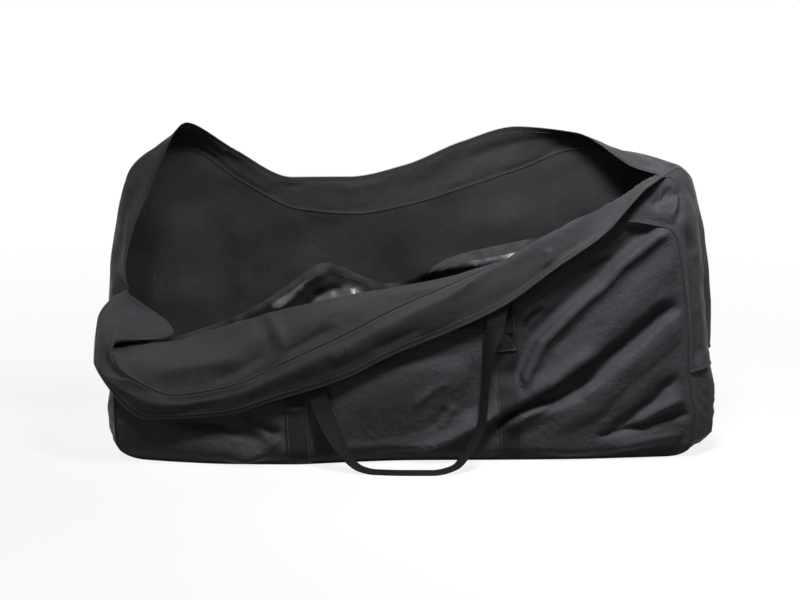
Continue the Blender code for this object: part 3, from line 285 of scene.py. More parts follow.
BACK_GUSSET = (
    (0.00, (-0.533, 0.25, 0.286), (-0.5250, 0.00, 0.286)),
    (0.40, (-0.524, 0.25, 0.500), OPEN_LIPS["left"]),
    (0.50, (-0.520, 0.29, 0.571), (-0.4980, 0.10, 0.550)),
    (0.70, (-0.510, 0.31, 0.700), (-0.4850, 0.15, 0.664)),
    (0.85, (-0.492, 0.33, 0.800), (-0.4590, 0.17, 0.771)),
    (1.00, (-0.455, 0.35, 0.900), (-0.4300, 0.19, 0.890)),
    (1.10, (-0.398, 0.37, 0.957), (-0.3860, 0.21, 1.000)),
    (1.20, (-0.305, 0.47, 0.864), (-0.3050, 0.42, 0.907)),
    (1.30, (-0.205, 0.51, 0.771), (-0.2050, 0.51, 0.817)),
    (1.40, (-0.105, 0.53, 0.764), (-0.1050, 0.53, 0.817)),
    (1.50, (-0.004, 0.53, 0.800), (-0.0040, 0.53, 0.854)),
    (1.60, (0.097, 0.51, 0.864), (0.0970, 0.49, 0.929)),
    (1.70, (0.197, 0.48, 0.921), (0.1970, 0.42, 0.979)),
    (1.80, (0.298, 0.42, 0.950), (0.2980, 0.31, 0.964)),
    (1.90, (0.399, 0.31, 0.897), (0.3990, 0.13, 0.864)),
    (1.98, (0.463, 0.29, 0.857), (0.4590, 0.05, 0.836)),
    (2.12, (0.502, 0.25, 0.800), (0.4930, 0.02, 0.800)),
    (2.20, (0.512, 0.25, 0.743), OPEN_LIPS["right"]),
    (3.00, (0.534, 0.25, 0.286), (0.5330, 0.00, 0.286)),
)
OPEN_PLACES = {"front": (0.38, 2.23), "back": (0.40, 2.20)}
DIVIDER_SHIFT = -0.014
DIVIDER_LENGTH = 1.145
DIVIDER_Y = (-0.33, -0.27, -0.19, -0.14, -0.12, -0.12, -0.14, -0.19, -0.26)
DIVIDER_TOP = (0.330, 0.372, 0.425, 0.505, 0.585, 0.520, 0.605, 0.645, 0.668, 0.672, 0.640)
print("panel", PANEL_LENGTH, "depth", BAG_DEPTH, "height", BAG_HEIGHT, "m")

# %% [markdown]
# ## Curves
# A few numbers along the bag are enough to describe a slumped wall, if the curve through them is
# smooth and never swings past them. That is what this interpolation does.

# %% Curves
# Points between two controls of a smooth path
PATH_STEPS = 10


def unit(v):
    """Vectors scaled to length 1."""
    return v / np.maximum(np.linalg.norm(v, axis=-1, keepdims=True), 1e-12)


def pchip(places, values, at):
    """Smooth curve through the values that never overshoots them."""
    places = np.asarray(places, float)
    values = np.asarray(values, float)
    at = np.clip(np.asarray(at, float), places[0], places[-1])
    run = np.diff(places)
    rise = np.diff(values) / run
    slope = np.zeros_like(values)
    for i in range(1, len(values) - 1):
        if rise[i - 1] * rise[i] > 0:
            before = 2 * run[i] + run[i - 1]
            after = run[i] + 2 * run[i - 1]
            slope[i] = (before + after) / (before / rise[i - 1] + after / rise[i])
    slope[0] = rise[0]
    slope[-1] = rise[-1]
    i = np.clip(np.searchsorted(places, at, side="right") - 1, 0, len(run) - 1)
    t = (at - places[i]) / run[i]
    start = (1 + 2 * t) * (1 - t) ** 2 * values[i] + t * (1 - t) ** 2 * run[i] * slope[i]
    end = t**2 * (3 - 2 * t) * values[i + 1] + t**2 * (t - 1) * run[i] * slope[i + 1]
    return start + end


def along(shares, u):
    """Value at u, from 0 to 1, of a curve through evenly spaced shares."""
    return pchip(np.linspace(0, 1, len(shares)), shares, u)


def smooth_path(controls):
    """Smooth line through control points."""
    controls = np.asarray(controls, float)
    places = running(controls)
    at = [np.linspace(a, b, PATH_STEPS, endpoint=False) for a, b in zip(places, places[1:])]
    at = np.append(np.concatenate(at), places[-1])
    return np.stack([pchip(places, c, at) for c in controls.T], axis=1)


def running(path):
    """Distance along a line at each of its points."""
    return np.append(0, np.cumsum(np.linalg.norm(np.diff(path, axis=0), axis=1)))


def at_distance(path, distances):
    """Points at given distances along a line."""
    return np.stack([np.interp(distances, running(path), c) for c in path.T], axis=-1)


def even_path(controls, spacing):
    """Smooth line through control points, in even steps."""
    dense = smooth_path(controls)
    length = running(dense[:, :3])[-1]
    count = max(2, round(length / spacing))
    places = np.linspace(0, length, count + 1)
    return np.stack([np.interp(places, running(dense[:, :3]), c) for c in dense.T], axis=-1)


def real(shares):
    """Real place of a point given in shares of the length, the depth and the height."""
    return np.array([shares[0] * PANEL_LENGTH, shares[1] * BAG_DEPTH, shares[2] * BAG_HEIGHT])


def ease(t):
    """0 below 0, 1 above 1, and a soft step in between."""
    t = np.clip(t, 0, 1)
    return t * t * (3 - 2 * t)


def fade(count, first, last):
    """1 along a row of points, and down to 0 at its two ends, over a share of the row at each."""
    t = np.linspace(0, 1, count)
    return ease(t / first) * ease((1 - t) / last)


print("crest", round(float(along(CREST_Z, 0.75)) * BAG_HEIGHT, 3), "m high at three quarters")

# %% [markdown]
# ## Finishes
# The walls are 600D polyester: a plain weave of thick yarn, black, with a thin coating. The weave is
# finer than a millimetre, so it goes into the bump of the material and not into the mesh. Its low gaps
# are also painted a little darker, as painted shade.
# Effects that several finishes share are node groups: threads, crinkles and dust.


# %% Node groups
def new_group(name, inputs, outputs):
    """Shader node group with its inputs and outputs. Returns its tree and its two ends."""
    group = bpy.data.node_groups.new(name, "ShaderNodeTree")
    for label, kind, default in inputs:
        socket = group.interface.new_socket(label, in_out="INPUT", socket_type=kind)
        if default is not None:
            socket.default_value = default
    for label in outputs:
        group.interface.new_socket(label, in_out="OUTPUT", socket_type=FLOAT)
    return group, put(group, "NodeGroupInput").outputs, put(group, "NodeGroupOutput")


FLOAT, VECTOR = "NodeSocketFloat", "NodeSocketVector"
THREAD_ROUNDNESS = 0.6
# The small crinkles are this many times finer than the great ones, and this high beside them
FINE_SCALE, FINE_HEIGHT = 4.3, 0.4
# Dust lies where a cloudy noise is above the first of these, and fully above the second
DUST_START, DUST_END = 0.42, 0.72

# Threads that cross over and under each other. A thread is highest in its middle.
threads, given, end = new_group(
    "crossing_threads",
    (("Vector", VECTOR, None), ("Pitch", FLOAT, 0.001), ("Rib", FLOAT, 0.5)),
    ("Height",),
)
do = partial(maths, threads)
split = put(threads, "ShaderNodeSeparateXYZ", {0: given["Vector"]}).outputs
swings = [do("SINE", do("MULTIPLY", do("DIVIDE", split[k], given["Pitch"]), math.pi)) for k in (0, 1)]
over = do("GREATER_THAN", do("MULTIPLY", *swings), 0.0)
warp, weft = (do("POWER", do("ABSOLUTE", swing), THREAD_ROUNDNESS) for swing in swings)
cross = do("ADD", do("MULTIPLY", warp, over), do("MULTIPLY", weft, do("SUBTRACT", 1.0, over)))
flat = do("MULTIPLY", cross, do("SUBTRACT", 1.0, given["Rib"]))
plug(threads, end, {"Height": do("ADD", flat, do("MULTIPLY", weft, given["Rib"]))})

# Soft crinkles of a cloth that has been folded and packed many times.
crinkles, given, end = new_group(
    "packed_crinkles", (("Vector", VECTOR, None), ("Size", FLOAT, 0.03)), ("Height", "Dust")
)
do = partial(maths, crinkles)
scale = do("DIVIDE", 1.0, given["Size"])
broad, fine, cloud = (
    put(crinkles, "ShaderNodeTexNoise", {"Vector": given["Vector"], **settings}).outputs[0]
    for settings in (
        {"Scale": scale, "Detail": 3.0, "Roughness": 0.55, "Distortion": 0.6},
        {"Scale": do("MULTIPLY", scale, FINE_SCALE), "Detail": 2.0},
        {"Scale": 5.0, "Detail": 4.0, "Roughness": 0.65},
    )
)
ridged = do("SUBTRACT", 1.0, do("MULTIPLY", do("ABSOLUTE", do("SUBTRACT", broad, 0.5)), 4.0))
plug(crinkles, end, {
    "Height": do("ADD", ridged, do("MULTIPLY", fine, FINE_HEIGHT)),
    "Dust": ranged(crinkles, cloud, DUST_START, DUST_END, 0.0, 1.0),
})
print("node groups", len(bpy.data.node_groups))


# %% [markdown]
# One function then builds each cloth finish from its colour, gloss and weave. The crinkles bend the
# normal first and the threads second, and the dust lightens the colour a little where it settles. In the
# low gaps between the threads the colour stays darker, as painted shade.

# %% Cloth finishes
# Bump heights as shares of the crinkles' size and of the thread's width
CRINKLE_DEPTH_SHARE, THREAD_DEPTH_SHARE = 0.05, 0.35
# How much glossier a finish is without dust, and how much duller with it
GLOSSIER, DULLER = 0.06, 0.08
COAT_ROUGHNESS = 0.35


def mixed(tree, share, low, high):
    """Colour between two colours."""
    return put(tree, "ShaderNodeMix", {0: share, 6: (*low, 1), 7: (*high, 1)}, data_type="RGBA").outputs[2]


def bump(tree, height, strength, distance, **more):
    """Normal that is bent by a height."""
    values = {"Height": height, "Strength": strength, "Distance": distance, **more}
    return put(tree, "ShaderNodeBump", values).outputs[0]


def cloth_finish(
    name, colour, dusty, roughness, pitch, crinkle, size=0.03, weave=0.5, rib=0.0, specular=0.06, coat=0.0
):
    """Woven finish. Pitch is the thread's width in metres, crinkle and weave are bump strengths."""
    made, tree, shader = new_finish(name)
    place = put(tree, "ShaderNodeTexCoord").outputs["Object"]
    lay = put(tree, "ShaderNodeUVMap", uv_map="UVMap").outputs[0]
    folds = put(tree, "ShaderNodeGroup", {"Vector": place, "Size": size}, node_tree=crinkles).outputs
    yarn = {"Vector": lay, "Pitch": pitch, "Rib": rib}
    yarn = put(tree, "ShaderNodeGroup", yarn, node_tree=threads).outputs[0]
    # Painted shade: where the threads dip, the gaps hold back the dust's lighter colour and stay darker
    between = maths(tree, "MULTIPLY", maths(tree, "SUBTRACT", 1.0, yarn), 0.5)
    crinkled = bump(tree, folds["Height"], crinkle, size * CRINKLE_DEPTH_SHARE)
    plug(tree, shader, {
        "Base Color": mixed(tree, maths(tree, "SUBTRACT", folds["Dust"], between), colour, dusty),
        "Roughness": ranged(tree, folds["Dust"], 0.0, 1.0, roughness - GLOSSIER, roughness + DULLER),
        "Normal": bump(tree, yarn, weave, pitch * THREAD_DEPTH_SHARE, Normal=crinkled),
        "Specular IOR Level": specular,
        "Coat Weight": coat,
        "Coat Roughness": COAT_ROUGHNESS,
    })
    return made


oxford = cloth_finish(
    "oxford_outside", (0.040, 0.039, 0.044), (0.054, 0.053, 0.059), 0.48, 0.0009, 0.85, size=0.024
)
# The inner side is darker than the outside: partly the cloth's own darker reverse, partly painted shade for the
# inside of the bag
lining_painted_shade = cloth_finish("oxford_inside_painted_shade", (0.032, 0.0315, 0.035), (0.043, 0.0425, 0.047), 0.50, 0.0009, 0.35)
shiny = cloth_finish(
    "divider_coating", (0.018, 0.019, 0.022), (0.030, 0.031, 0.035), 0.38, 0.0008, 0.50,
    size=0.022, weave=0.15, specular=0.60, coat=0.15,
)
cord_cloth = cloth_finish(
    "piping_cloth", (0.030, 0.030, 0.033), (0.044, 0.044, 0.048), 0.55, 0.0006, 0.40, size=0.010
)
tape_cloth = cloth_finish(
    "zip_tape_weave", (0.034, 0.034, 0.037), (0.050, 0.050, 0.054), 0.62, 0.0007, 0.20, rib=0.4
)
strap_cloth = cloth_finish(
    "webbing_weave", (0.019, 0.019, 0.021), (0.032, 0.032, 0.034), 0.62, 0.0011, 0.20, weave=0.8, rib=0.7
)
handle_cloth = cloth_finish(
    "handle_weave", (0.012, 0.012, 0.013), (0.021, 0.021, 0.022), 0.62, 0.0011, 0.20, weave=0.9, rib=0.9
)


def plain_finish(name, colour, roughness, metallic=0.0, grain=0.0008, depth=0.15):
    """Finish of thread, nylon or lacquered metal, with a fine grain."""
    made, tree, shader = new_finish(name)
    place = put(tree, "ShaderNodeTexCoord").outputs["Object"]
    speck = {"Vector": place, "Scale": 1 / grain, "Detail": 3.0}
    speck = put(tree, "ShaderNodeTexNoise", speck).outputs[0]
    plug(tree, shader, {
        "Base Color": mixed(tree, speck, [c * 0.6 for c in colour], colour),
        "Roughness": ranged(tree, speck, 0.3, 0.7, roughness - 0.08, roughness + 0.08),
        "Normal": bump(tree, speck, depth, grain * 0.3),
        "Metallic": metallic,
    })
    return made


# The thread is light grey, far lighter than the cloth: partly its own colour, partly painted sheen, so that the
# stitches show as light dashes
thread = plain_finish("sewing_thread_painted_sheen", (0.150, 0.150, 0.155), 0.5, depth=0.3)
nylon = plain_finish("coil_nylon", (0.030, 0.030, 0.032), 0.35)
lacquer = plain_finish("black_lacquer", (0.050, 0.050, 0.053), 0.32, metallic=0.7, grain=0.002)
print("finishes", len(bpy.data.materials))

# %% [markdown]
# ## How a cloth is made
# A cloth starts as a flat grid, as it was cut. Its points are carried to where the sewn cloth lies,
# and Solidify gives it its thickness. Its UV map keeps the flat cut in metres, so that the weave is
# the same size everywhere. The inner side can have a finish of its own.

# %% Cloth from a grid
CLOTH = 0.0016
SMOOTH_ANGLE = math.radians(50)


def only(obj):
    """Selects one object alone and makes it active."""
    bpy.ops.object.select_all(action="DESELECT")
    obj.select_set(True)
    bpy.context.view_layer.objects.active = obj


def register(obj, slot, *nodes):
    """Puts a piece on the bag in place of its CAD nodes."""
    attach(obj, "bag")
    if nodes:
        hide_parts(*nodes)


def flat_size(points):
    """Width and length of the flat cut of a grid."""
    wide = np.linalg.norm(np.diff(points, axis=1), axis=-1).sum(axis=1).mean()
    long = np.linalg.norm(np.diff(points, axis=0), axis=-1).sum(axis=0).mean()
    return round(float(wide), 4), round(float(long), 4)


def cloth(name, points, finishes, thickness=CLOTH):
    """Closed cloth on a grid of points, with its normals towards the first finish, and its flat size."""
    rows, columns = points.shape[:2]
    bpy.ops.object.select_all(action="DESELECT")
    bpy.ops.mesh.primitive_grid_add(x_subdivisions=columns - 1, y_subdivisions=rows - 1, size=1)
    made = bpy.context.object
    made.name = name
    mesh = made.data
    mesh.name = name
    mesh.vertices.foreach_set("co", points.reshape(-1).astype(np.float32))
    wide, long = flat_size(points)
    flat = np.stack(np.meshgrid(np.linspace(0, wide, columns), np.linspace(0, long, rows)), axis=-1)
    corner = np.zeros(len(mesh.loops), np.int32)
    mesh.loops.foreach_get("vertex_index", corner)
    mesh.uv_layers[0].name = "UVMap"
    mesh.uv_layers[0].data.foreach_set("uv", flat.reshape(-1, 2)[corner].reshape(-1).astype(np.float32))
    for finish in finishes:
        mesh.materials.append(finish)
    thick = made.modifiers.new("thickness", "SOLIDIFY")
    thick.thickness = thickness
    thick.offset = 0
    thick.material_offset = len(finishes) - 1
    bpy.ops.object.modifier_apply(modifier=thick.name)
    bpy.ops.object.shade_smooth_by_angle(angle=SMOOTH_ANGLE)
    return made, (wide, long)


def sewn(name, points, finishes, slot, *nodes, thickness=CLOTH, held="hung"):
    """Cloth that is sewn to the bag in place of its CAD nodes. The argument held is not used."""
    made, flat = cloth(name, points, finishes, thickness)
    register(made, slot, *nodes)
    return made


def grid_normals(grid):
    """Unit normals of a grid of points."""
    return unit(np.cross(np.gradient(grid, axis=1), np.gradient(grid, axis=0)))


def sample(grid, rows, columns):
    """Values of a grid at fractional rows and columns."""
    i = np.clip(rows.astype(int), 0, grid.shape[0] - 2)
    k = np.clip(columns.astype(int), 0, grid.shape[1] - 2)
    s = (rows - i)[..., None]
    t = (columns - k)[..., None]
    low = grid[i, k] * (1 - t) + grid[i, k + 1] * t
    high = grid[i + 1, k] * (1 - t) + grid[i + 1, k + 1] * t
    return low * (1 - s) + high * s


# %% [markdown]
# ## The two walls
# Each wall is a stack of sections. The front one rises from the foot seam, goes over the crest and
# comes down again outside, because the cloth has slumped. The wall's edge is the seam that holds the
# piping, with round corners.

# %% Wall sections
TABLE_COLUMNS, TABLE_ROWS = 161, 301
FOOT_TURN, LOW_ROWS, HIGH_ROWS, TOP_TURN = 12, 34, 92, 8
WALL_COLUMNS = 281
COLUMN_SHARES = np.linspace(0, 1, WALL_COLUMNS)[None]
CROSS_ROW = FOOT_TURN + LOW_ROWS
# The crest is the fifth control of both sections
CREST_POINT = 4 * PATH_STEPS


def front_section(u):
    """Section of the front wall at u, from the foot seam to the seam of the collar."""
    foot = along(FRONT_FOOT_Y, u) * BAG_DEPTH
    crest_z = along(CREST_Z, u) * BAG_HEIGHT
    crest = np.array([along(CREST_Y, u) * BAG_DEPTH, crest_z])
    seam = np.array([along(SEAM_Y, u) * BAG_DEPTH, along(SEAM_Z, u) * BAG_HEIGHT])
    reach = abs(seam[0] - crest[0]) / (BAG_DEPTH / 4)
    middle = (crest + seam) / 2 + np.array([-COLLAR_PUFF, COLLAR_PUFF]) * min(reach, 1)
    low = (along(FRONT_LOW_Y, u) * BAG_DEPTH, LOW_KNOT * crest_z)
    high = (along(FRONT_HIGH_Y, u) * BAG_DEPTH, HIGH_KNOT * crest_z)
    knots = [(foot, SEAM_HEIGHT), (foot - FOOT_BULGE, FOOT_BULGE_HEIGHT), low, high, crest, middle, seam]
    return smooth_path(knots)


def back_section(u):
    """Section of the back wall at u, from the foot seam to the top."""
    foot = along(BACK_FOOT_Y, u) * BAG_DEPTH
    top_z = along(BACK_TOP_Z, u) * BAG_HEIGHT
    low = (along(BACK_LOW_Y, u) * BAG_DEPTH, LOW_KNOT * top_z)
    high = (along(BACK_HIGH_Y, u) * BAG_DEPTH, HIGH_KNOT * top_z)
    top = (along(BACK_TOP_Y, u) * BAG_DEPTH, top_z)
    return smooth_path([(foot, SEAM_HEIGHT), (foot + FOOT_BULGE / 2, FOOT_BULGE_HEIGHT), low, high, top])


def wall_table(section, shifts):
    """Sections of a wall, each in even steps, with their lengths and crests."""
    places = np.linspace(0, 1, TABLE_COLUMNS)
    paths = [section(u) for u in places]
    lengths, crests = (np.array([running(p)[k] for p in paths]) for k in (-1, CREST_POINT))
    even = np.array([at_distance(p, np.linspace(0, n, TABLE_ROWS)) for p, n in zip(paths, lengths)])
    return {"places": places, "even": even, "lengths": lengths, "crests": crests, "shifts": shifts}


def wall_points(wall, u, distance):
    """Points of a wall at u along it and a distance up from its foot seam."""
    share = np.clip(distance / np.interp(u, wall["places"], wall["lengths"]), 0, 1)
    yz = sample(wall["even"], u * (TABLE_COLUMNS - 1), share * (TABLE_ROWS - 1))
    left = PANEL_LENGTH * (-0.5 - along(wall["shifts"][0], share))
    right = PANEL_LENGTH * (0.5 + along(wall["shifts"][1], share))
    return np.concatenate([(left + (right - left) * u)[..., None], yz], axis=-1)


def webbing_places():
    """Left and right edges of both webbings, along the wall from 0 to 1."""
    middle = np.array([-0.5, 0.5]) * WEBBING_SPACING
    return [0.5 + (m + s * WEBBING_WIDTH / 2) / PANEL_LENGTH for m in middle for s in (-1, 1)]


def wall_grid(wall, trim):
    """Grid of a wall with round corners, and each point's place and distance from the foot."""
    c = COLUMN_SHARES
    foot_turn = np.linspace(0, math.pi / 2, FOOT_TURN + 1)
    top_turn = np.linspace(0, math.pi / 2, TOP_TURN + 1)
    straight = np.full(LOW_ROWS + HIGH_ROWS, trim)
    foot_inset = CORNER_RADIUS - (CORNER_RADIUS - trim) * np.sin(foot_turn)
    top_inset = TOP_CORNER_RADIUS - (TOP_CORNER_RADIUS - trim) * np.cos(top_turn)
    inset = np.concatenate([foot_inset, straight, top_inset[1:]])[:, None] / PANEL_LENGTH
    reach = webbing_places()[0]
    u = c + inset * np.maximum(0, 1 - c / reach) - inset * np.maximum(0, 1 - (1 - c) / reach)
    length = np.interp(u, wall["places"], wall["lengths"])
    distance = np.zeros_like(u)
    distance[: FOOT_TURN + 1] = (CORNER_RADIUS - (CORNER_RADIUS - trim) * np.cos(foot_turn))[:, None]
    low = np.linspace(CORNER_RADIUS, CROSS_SEAM_HEIGHT, LOW_ROWS + 1)[1:]
    distance[FOOT_TURN + 1 : CROSS_ROW + 1] = low[:, None]
    t = np.linspace(0, 1, HIGH_ROWS + 1)[1:, None]
    high = slice(CROSS_ROW + 1, CROSS_ROW + HIGH_ROWS + 1)
    distance[high] = CROSS_SEAM_HEIGHT + (length[high] - TOP_CORNER_RADIUS - CROSS_SEAM_HEIGHT) * t
    top = (TOP_CORNER_RADIUS - trim) * np.sin(top_turn[1:])[:, None]
    distance[-TOP_TURN:] = length[-TOP_TURN:] - TOP_CORNER_RADIUS + top
    return wall_points(wall, u, distance), u, distance


front_table = wall_table(front_section, FRONT_SHIFTS)
back_table = wall_table(back_section, BACK_SHIFTS)
front_seams, back_seams = (wall_grid(table, 0.0)[0] for table in (front_table, back_table))
print("wall grid", front_seams.shape)

# %% [markdown]
# ## Folds
# Cloth that hangs from a corner makes long diagonal folds. Each fold is drawn as a line in the
# picture, with a profile across it: distances in pixels, below the line positive, and heights in
# metres. A point of the cloth moves along its normal by the sum of the folds near it, and every fold
# fades out at its ends. Small uneven waves from smooth noise lie on top.


# %% Folds
# A hump falls to this share of its height at its width, and to nothing at twice its width
SHOULDER_SHARE = 0.3
# A fold fades out over this share of its length at each end, where it says nothing else
FOLD_FADE = 0.25


def hump(height, above, below):
    """Profile of a simple ridge or hollow with its own width on each side."""
    shoulder = SHOULDER_SHARE * height
    return (-2.0 * above, 0), (-above, shoulder), (0, height), (below, shoulder), (2.0 * below, 0)


def fold_lift(points, folds):
    """How far each point moves for a list of folds that are drawn in the picture."""
    x, y = picture_place(points)
    lift = np.zeros(x.shape)
    for profile, line, *fade_share in folds:
        fade_share = fade_share[0] if fade_share else FOLD_FADE
        line = np.array(line, float)
        done = running(line)
        nearest = np.full(x.shape, np.inf)
        signed = np.zeros(x.shape)
        place = np.zeros(x.shape)
        for k, (a, b) in enumerate(zip(line, line[1:])):
            run = b - a
            t = np.clip(((x - a[0]) * run[0] + (y - a[1]) * run[1]) / (run @ run), 0, 1)
            away = np.hypot(x - a[0] - t * run[0], y - a[1] - t * run[1])
            side = np.sign(run[0] * (y - a[1]) - run[1] * (x - a[0]))
            closer = away < nearest
            nearest = np.where(closer, away, nearest)
            signed = np.where(closer, away * side, signed)
            place = np.where(closer, (done[k] + t * (done[k + 1] - done[k])) / done[-1], place)
        distances, heights = np.array(profile).T
        ends = ease(place / fade_share) * ease((1 - place) / fade_share)
        lift += pchip(distances, heights, signed) * ends
    return lift


def waves(points, size, depth, seed=0.0, stretch=1.0, ridged=False):
    """Smooth uneven waves, longer along the diagonal from the lower left by a stretch."""
    diagonal = np.array([1.0, 0, 1.0]) / math.sqrt(2)
    part = (points @ diagonal)[..., None] * diagonal
    flat = (points - part * (1 - 1 / stretch)).reshape(-1, 3) / size + seed
    values = np.array([noise.noise(Vector(p)) for p in flat])
    if ridged:
        values = 0.5 - abs(values) * 2
    return values.reshape(points.shape[:-1]) * depth


def moved(points, lift):
    """Points moved along the normals of their grid."""
    return points + grid_normals(points) * lift[..., None]


def from_edge(table, u, distance):
    """Distance of each point of a wall from the nearest edge of its cloth."""
    below_top = np.interp(u, table["places"], table["lengths"]) - distance
    across = np.minimum(COLUMN_SHARES, 1 - COLUMN_SHARES) * PANEL_LENGTH
    return np.minimum(np.minimum(distance, below_top), across)


# Profiles of the three great folds. Lines run from left to right in the picture.
MAIN_RIDGE = (
    (-36, 0), (-20, -0.012), (-10, -0.020), (-6, -0.016), (-1, 0.010),
    (3, 0.012), (8, 0.004), (14, 0.0), (30, 0.005), (48, 0),
)
SECOND_HOLLOW = (
    (-34, 0), (-16, 0.007), (-7, -0.004), (0, -0.014), (4, -0.010), (9, 0.008), (15, 0.011), (34, 0),
)
LEDGE = ((-30, 0), (-14, 0.005), (-4, 0.014), (0, 0.012), (3, -0.006), (7, -0.013), (12, -0.006), (24, 0))
WALL_FOLDS = (
    # the great ridge that hangs from the top right corner
    (
        MAIN_RIDGE,
        [(522, 392), (526, 374), (541, 342), (562, 321), (582, 301), (602, 285), (621, 264), (643, 246),
         (672, 222)],
        0.07,
    ),
    # the second hollow, from the right seam down to the webbing
    (
        SECOND_HOLLOW,
        [(530, 412), (578, 391), (594, 375), (611, 358), (631, 342), (646, 329), (664, 313), (688, 300)],
        0.16,
    ),
    # the overhanging ledge across the webbing, with the bright ridge under it
    (
        LEDGE,
        [(430, 446), (462, 431), (484, 421), (500, 413), (531, 397), (551, 385), (572, 370), (590, 358),
         (606, 349)],
        0.13,
    ),
    (
        hump(0.017, 3.5, 7),
        [(498, 434), (510, 424), (524, 416), (541, 409), (562, 401), (584, 391), (604, 376)],
        0.2,
    ),
    # the long plane below, and the folds of the lower right corner
    (hump(0.008, 26, 22), [(520, 446), (560, 430), (600, 405), (640, 370), (668, 330)]),
    (hump(-0.013, 9, 6), [(604, 430), (627, 421), (640, 413), (656, 402), (664, 391), (684, 374)], 0.2),
    (hump(0.010, 5, 6), [(630, 427), (650, 414), (670, 404), (688, 396)]),
    (
        hump(-0.013, 6, 4),
        [(588, 438), (611, 434), (631, 430), (648, 426), (664, 419), (676, 416), (700, 415)],
        0.18,
    ),
    (hump(0.008, 5, 6), [(606, 449), (632, 443), (656, 438), (686, 433)]),
    (hump(-0.007, 5, 6), [(600, 458), (640, 452), (690, 446)]),
    # creases by the corner of the panel
    (hump(0.008, 4, 3), [(618, 218), (632, 223), (648, 224), (668, 229)]),
    (hump(-0.008, 4, 8), [(625, 230), (645, 235), (662, 236)]),
    (hump(0.005, 4, 5), [(520, 322), (532, 308), (548, 300)]),
    (hump(-0.005, 5, 4), [(523, 335), (530, 320), (545, 308)]),
    # left of the webbing, under the collar
    (hump(-0.020, 12, 11), [(160, 424), (190, 421), (222, 424), (250, 436), (275, 452)]),
    (hump(0.014, 5, 9), [(214, 472), (238, 462), (260, 452), (282, 436)], 0.15),
    (hump(-0.014, 7, 4), [(240, 412), (256, 424), (272, 434), (284, 430)]),
    (hump(0.006, 4, 4), [(270, 412), (282, 408), (306, 410)]),
)
COLLAR_FOLDS = (
    # the great ridge goes on to the seam
    (MAIN_RIDGE, [(604, 280), (643, 246), (700, 199)], 0.28),
    # the pinched pleat and the soft humps along the crest
    (hump(-0.006, 5, 10), [(268, 306), (273, 320), (281, 336), (286, 356)], 0.35),
    (hump(0.004, 7, 9), [(254, 312), (264, 328), (270, 344), (274, 360)], 0.35),
    (hump(0.007, 9, 8), [(150, 356), (185, 344), (215, 340), (250, 330)]),
    (hump(-0.007, 9, 10), [(150, 374), (190, 367), (222, 362), (252, 354)]),
    (hump(0.006, 8, 8), [(205, 384), (232, 374), (262, 358), (278, 348)]),
    (hump(0.008, 8, 10), [(276, 372), (292, 352), (312, 340), (340, 324)]),
    (hump(-0.006, 7, 8), [(290, 372), (306, 358), (326, 348)]),
    (hump(0.005, 8, 9), [(320, 326), (350, 308), (400, 294)]),
    (hump(-0.005, 8, 8), [(360, 330), (400, 310), (440, 296)]),
    (hump(-0.004, 6, 7), [(400, 300), (440, 290), (480, 272)]),
)

# The collar's folds take over from the wall's past the crest. Seams stay where they are, and behind the
# pocket the wall stays nearly flat, because the pocket in front of it has the folds.
CREST_TURN, WALL_MARGIN, BACK_MARGIN, POCKET_MARGIN, POCKET_CALM = 0.03, 0.022, 0.03, 0.02, 0.85
front_grid, front_u, front_distance = wall_grid(front_table, SEAM_EDGE)
past_crest = front_distance - np.interp(front_u, front_table["places"], front_table["crests"])
over = ease(past_crest / CREST_TURN + 0.5)
lift = fold_lift(front_grid, WALL_FOLDS) * (1 - over) + fold_lift(front_grid, COLLAR_FOLDS) * over
lift += waves(front_grid, 0.09, 0.006, 0, 2.5) + waves(front_grid, 0.030, 0.0022, 7, 4)
lift += waves(front_grid, 0.014, 0.0005, 3, 2)
_, pocket_left, pocket_right, _ = webbing_places()
pocket_zone = ease((COLUMN_SHARES - pocket_left) / POCKET_MARGIN) * (1 - over)
pocket_zone = pocket_zone * ease((pocket_right - COLUMN_SHARES) / POCKET_MARGIN)
lift *= ease(from_edge(front_table, front_u, front_distance) / WALL_MARGIN) * (1 - POCKET_CALM * pocket_zone)
front_grid = moved(front_grid, lift)
front_wall = sewn(
    "front_wall", front_grid, (oxford, lining_painted_shade), "oxford_fabric",
    "front_left_panel", "front_middle_panel", "front_right_panel",
)

BACK_FOLDS = (
    (hump(0.008, 22, 22), [(150, 420), (180, 330), (190, 200)]),
    (hump(-0.010, 22, 22), [(215, 400), (225, 300), (215, 200)]),
    (hump(0.008, 28, 28), [(300, 400), (310, 300), (300, 230)]),
    (hump(-0.007, 22, 22), [(400, 400), (390, 300), (400, 230)]),
    (hump(0.008, 28, 28), [(520, 360), (500, 260), (520, 190)]),
    (hump(-0.008, 22, 22), [(600, 340), (590, 260), (610, 200)]),
)
back_grid, back_u, back_distance = wall_grid(back_table, SEAM_EDGE)
lift = fold_lift(back_grid, BACK_FOLDS)
lift += waves(back_grid, 0.12, 0.007, 11) + waves(back_grid, 0.04, 0.0018, 5, 2)
back_grid = moved(back_grid, lift * ease(from_edge(back_table, back_u, back_distance) / BACK_MARGIN))
back_wall = sewn(
    "back_wall", back_grid, (lining_painted_shade, oxford), "oxford_fabric",
    "back_left_panel", "back_middle_panel", "back_right_panel",
)
print("walls", len(front_wall.data.polygons), len(back_wall.data.polygons))

# %% [markdown]
# ## Piping
# A bias strip folded round a cord is sewn into the seam round each wall. It is a round tube on the
# seam line, made from a curve with a bevel.


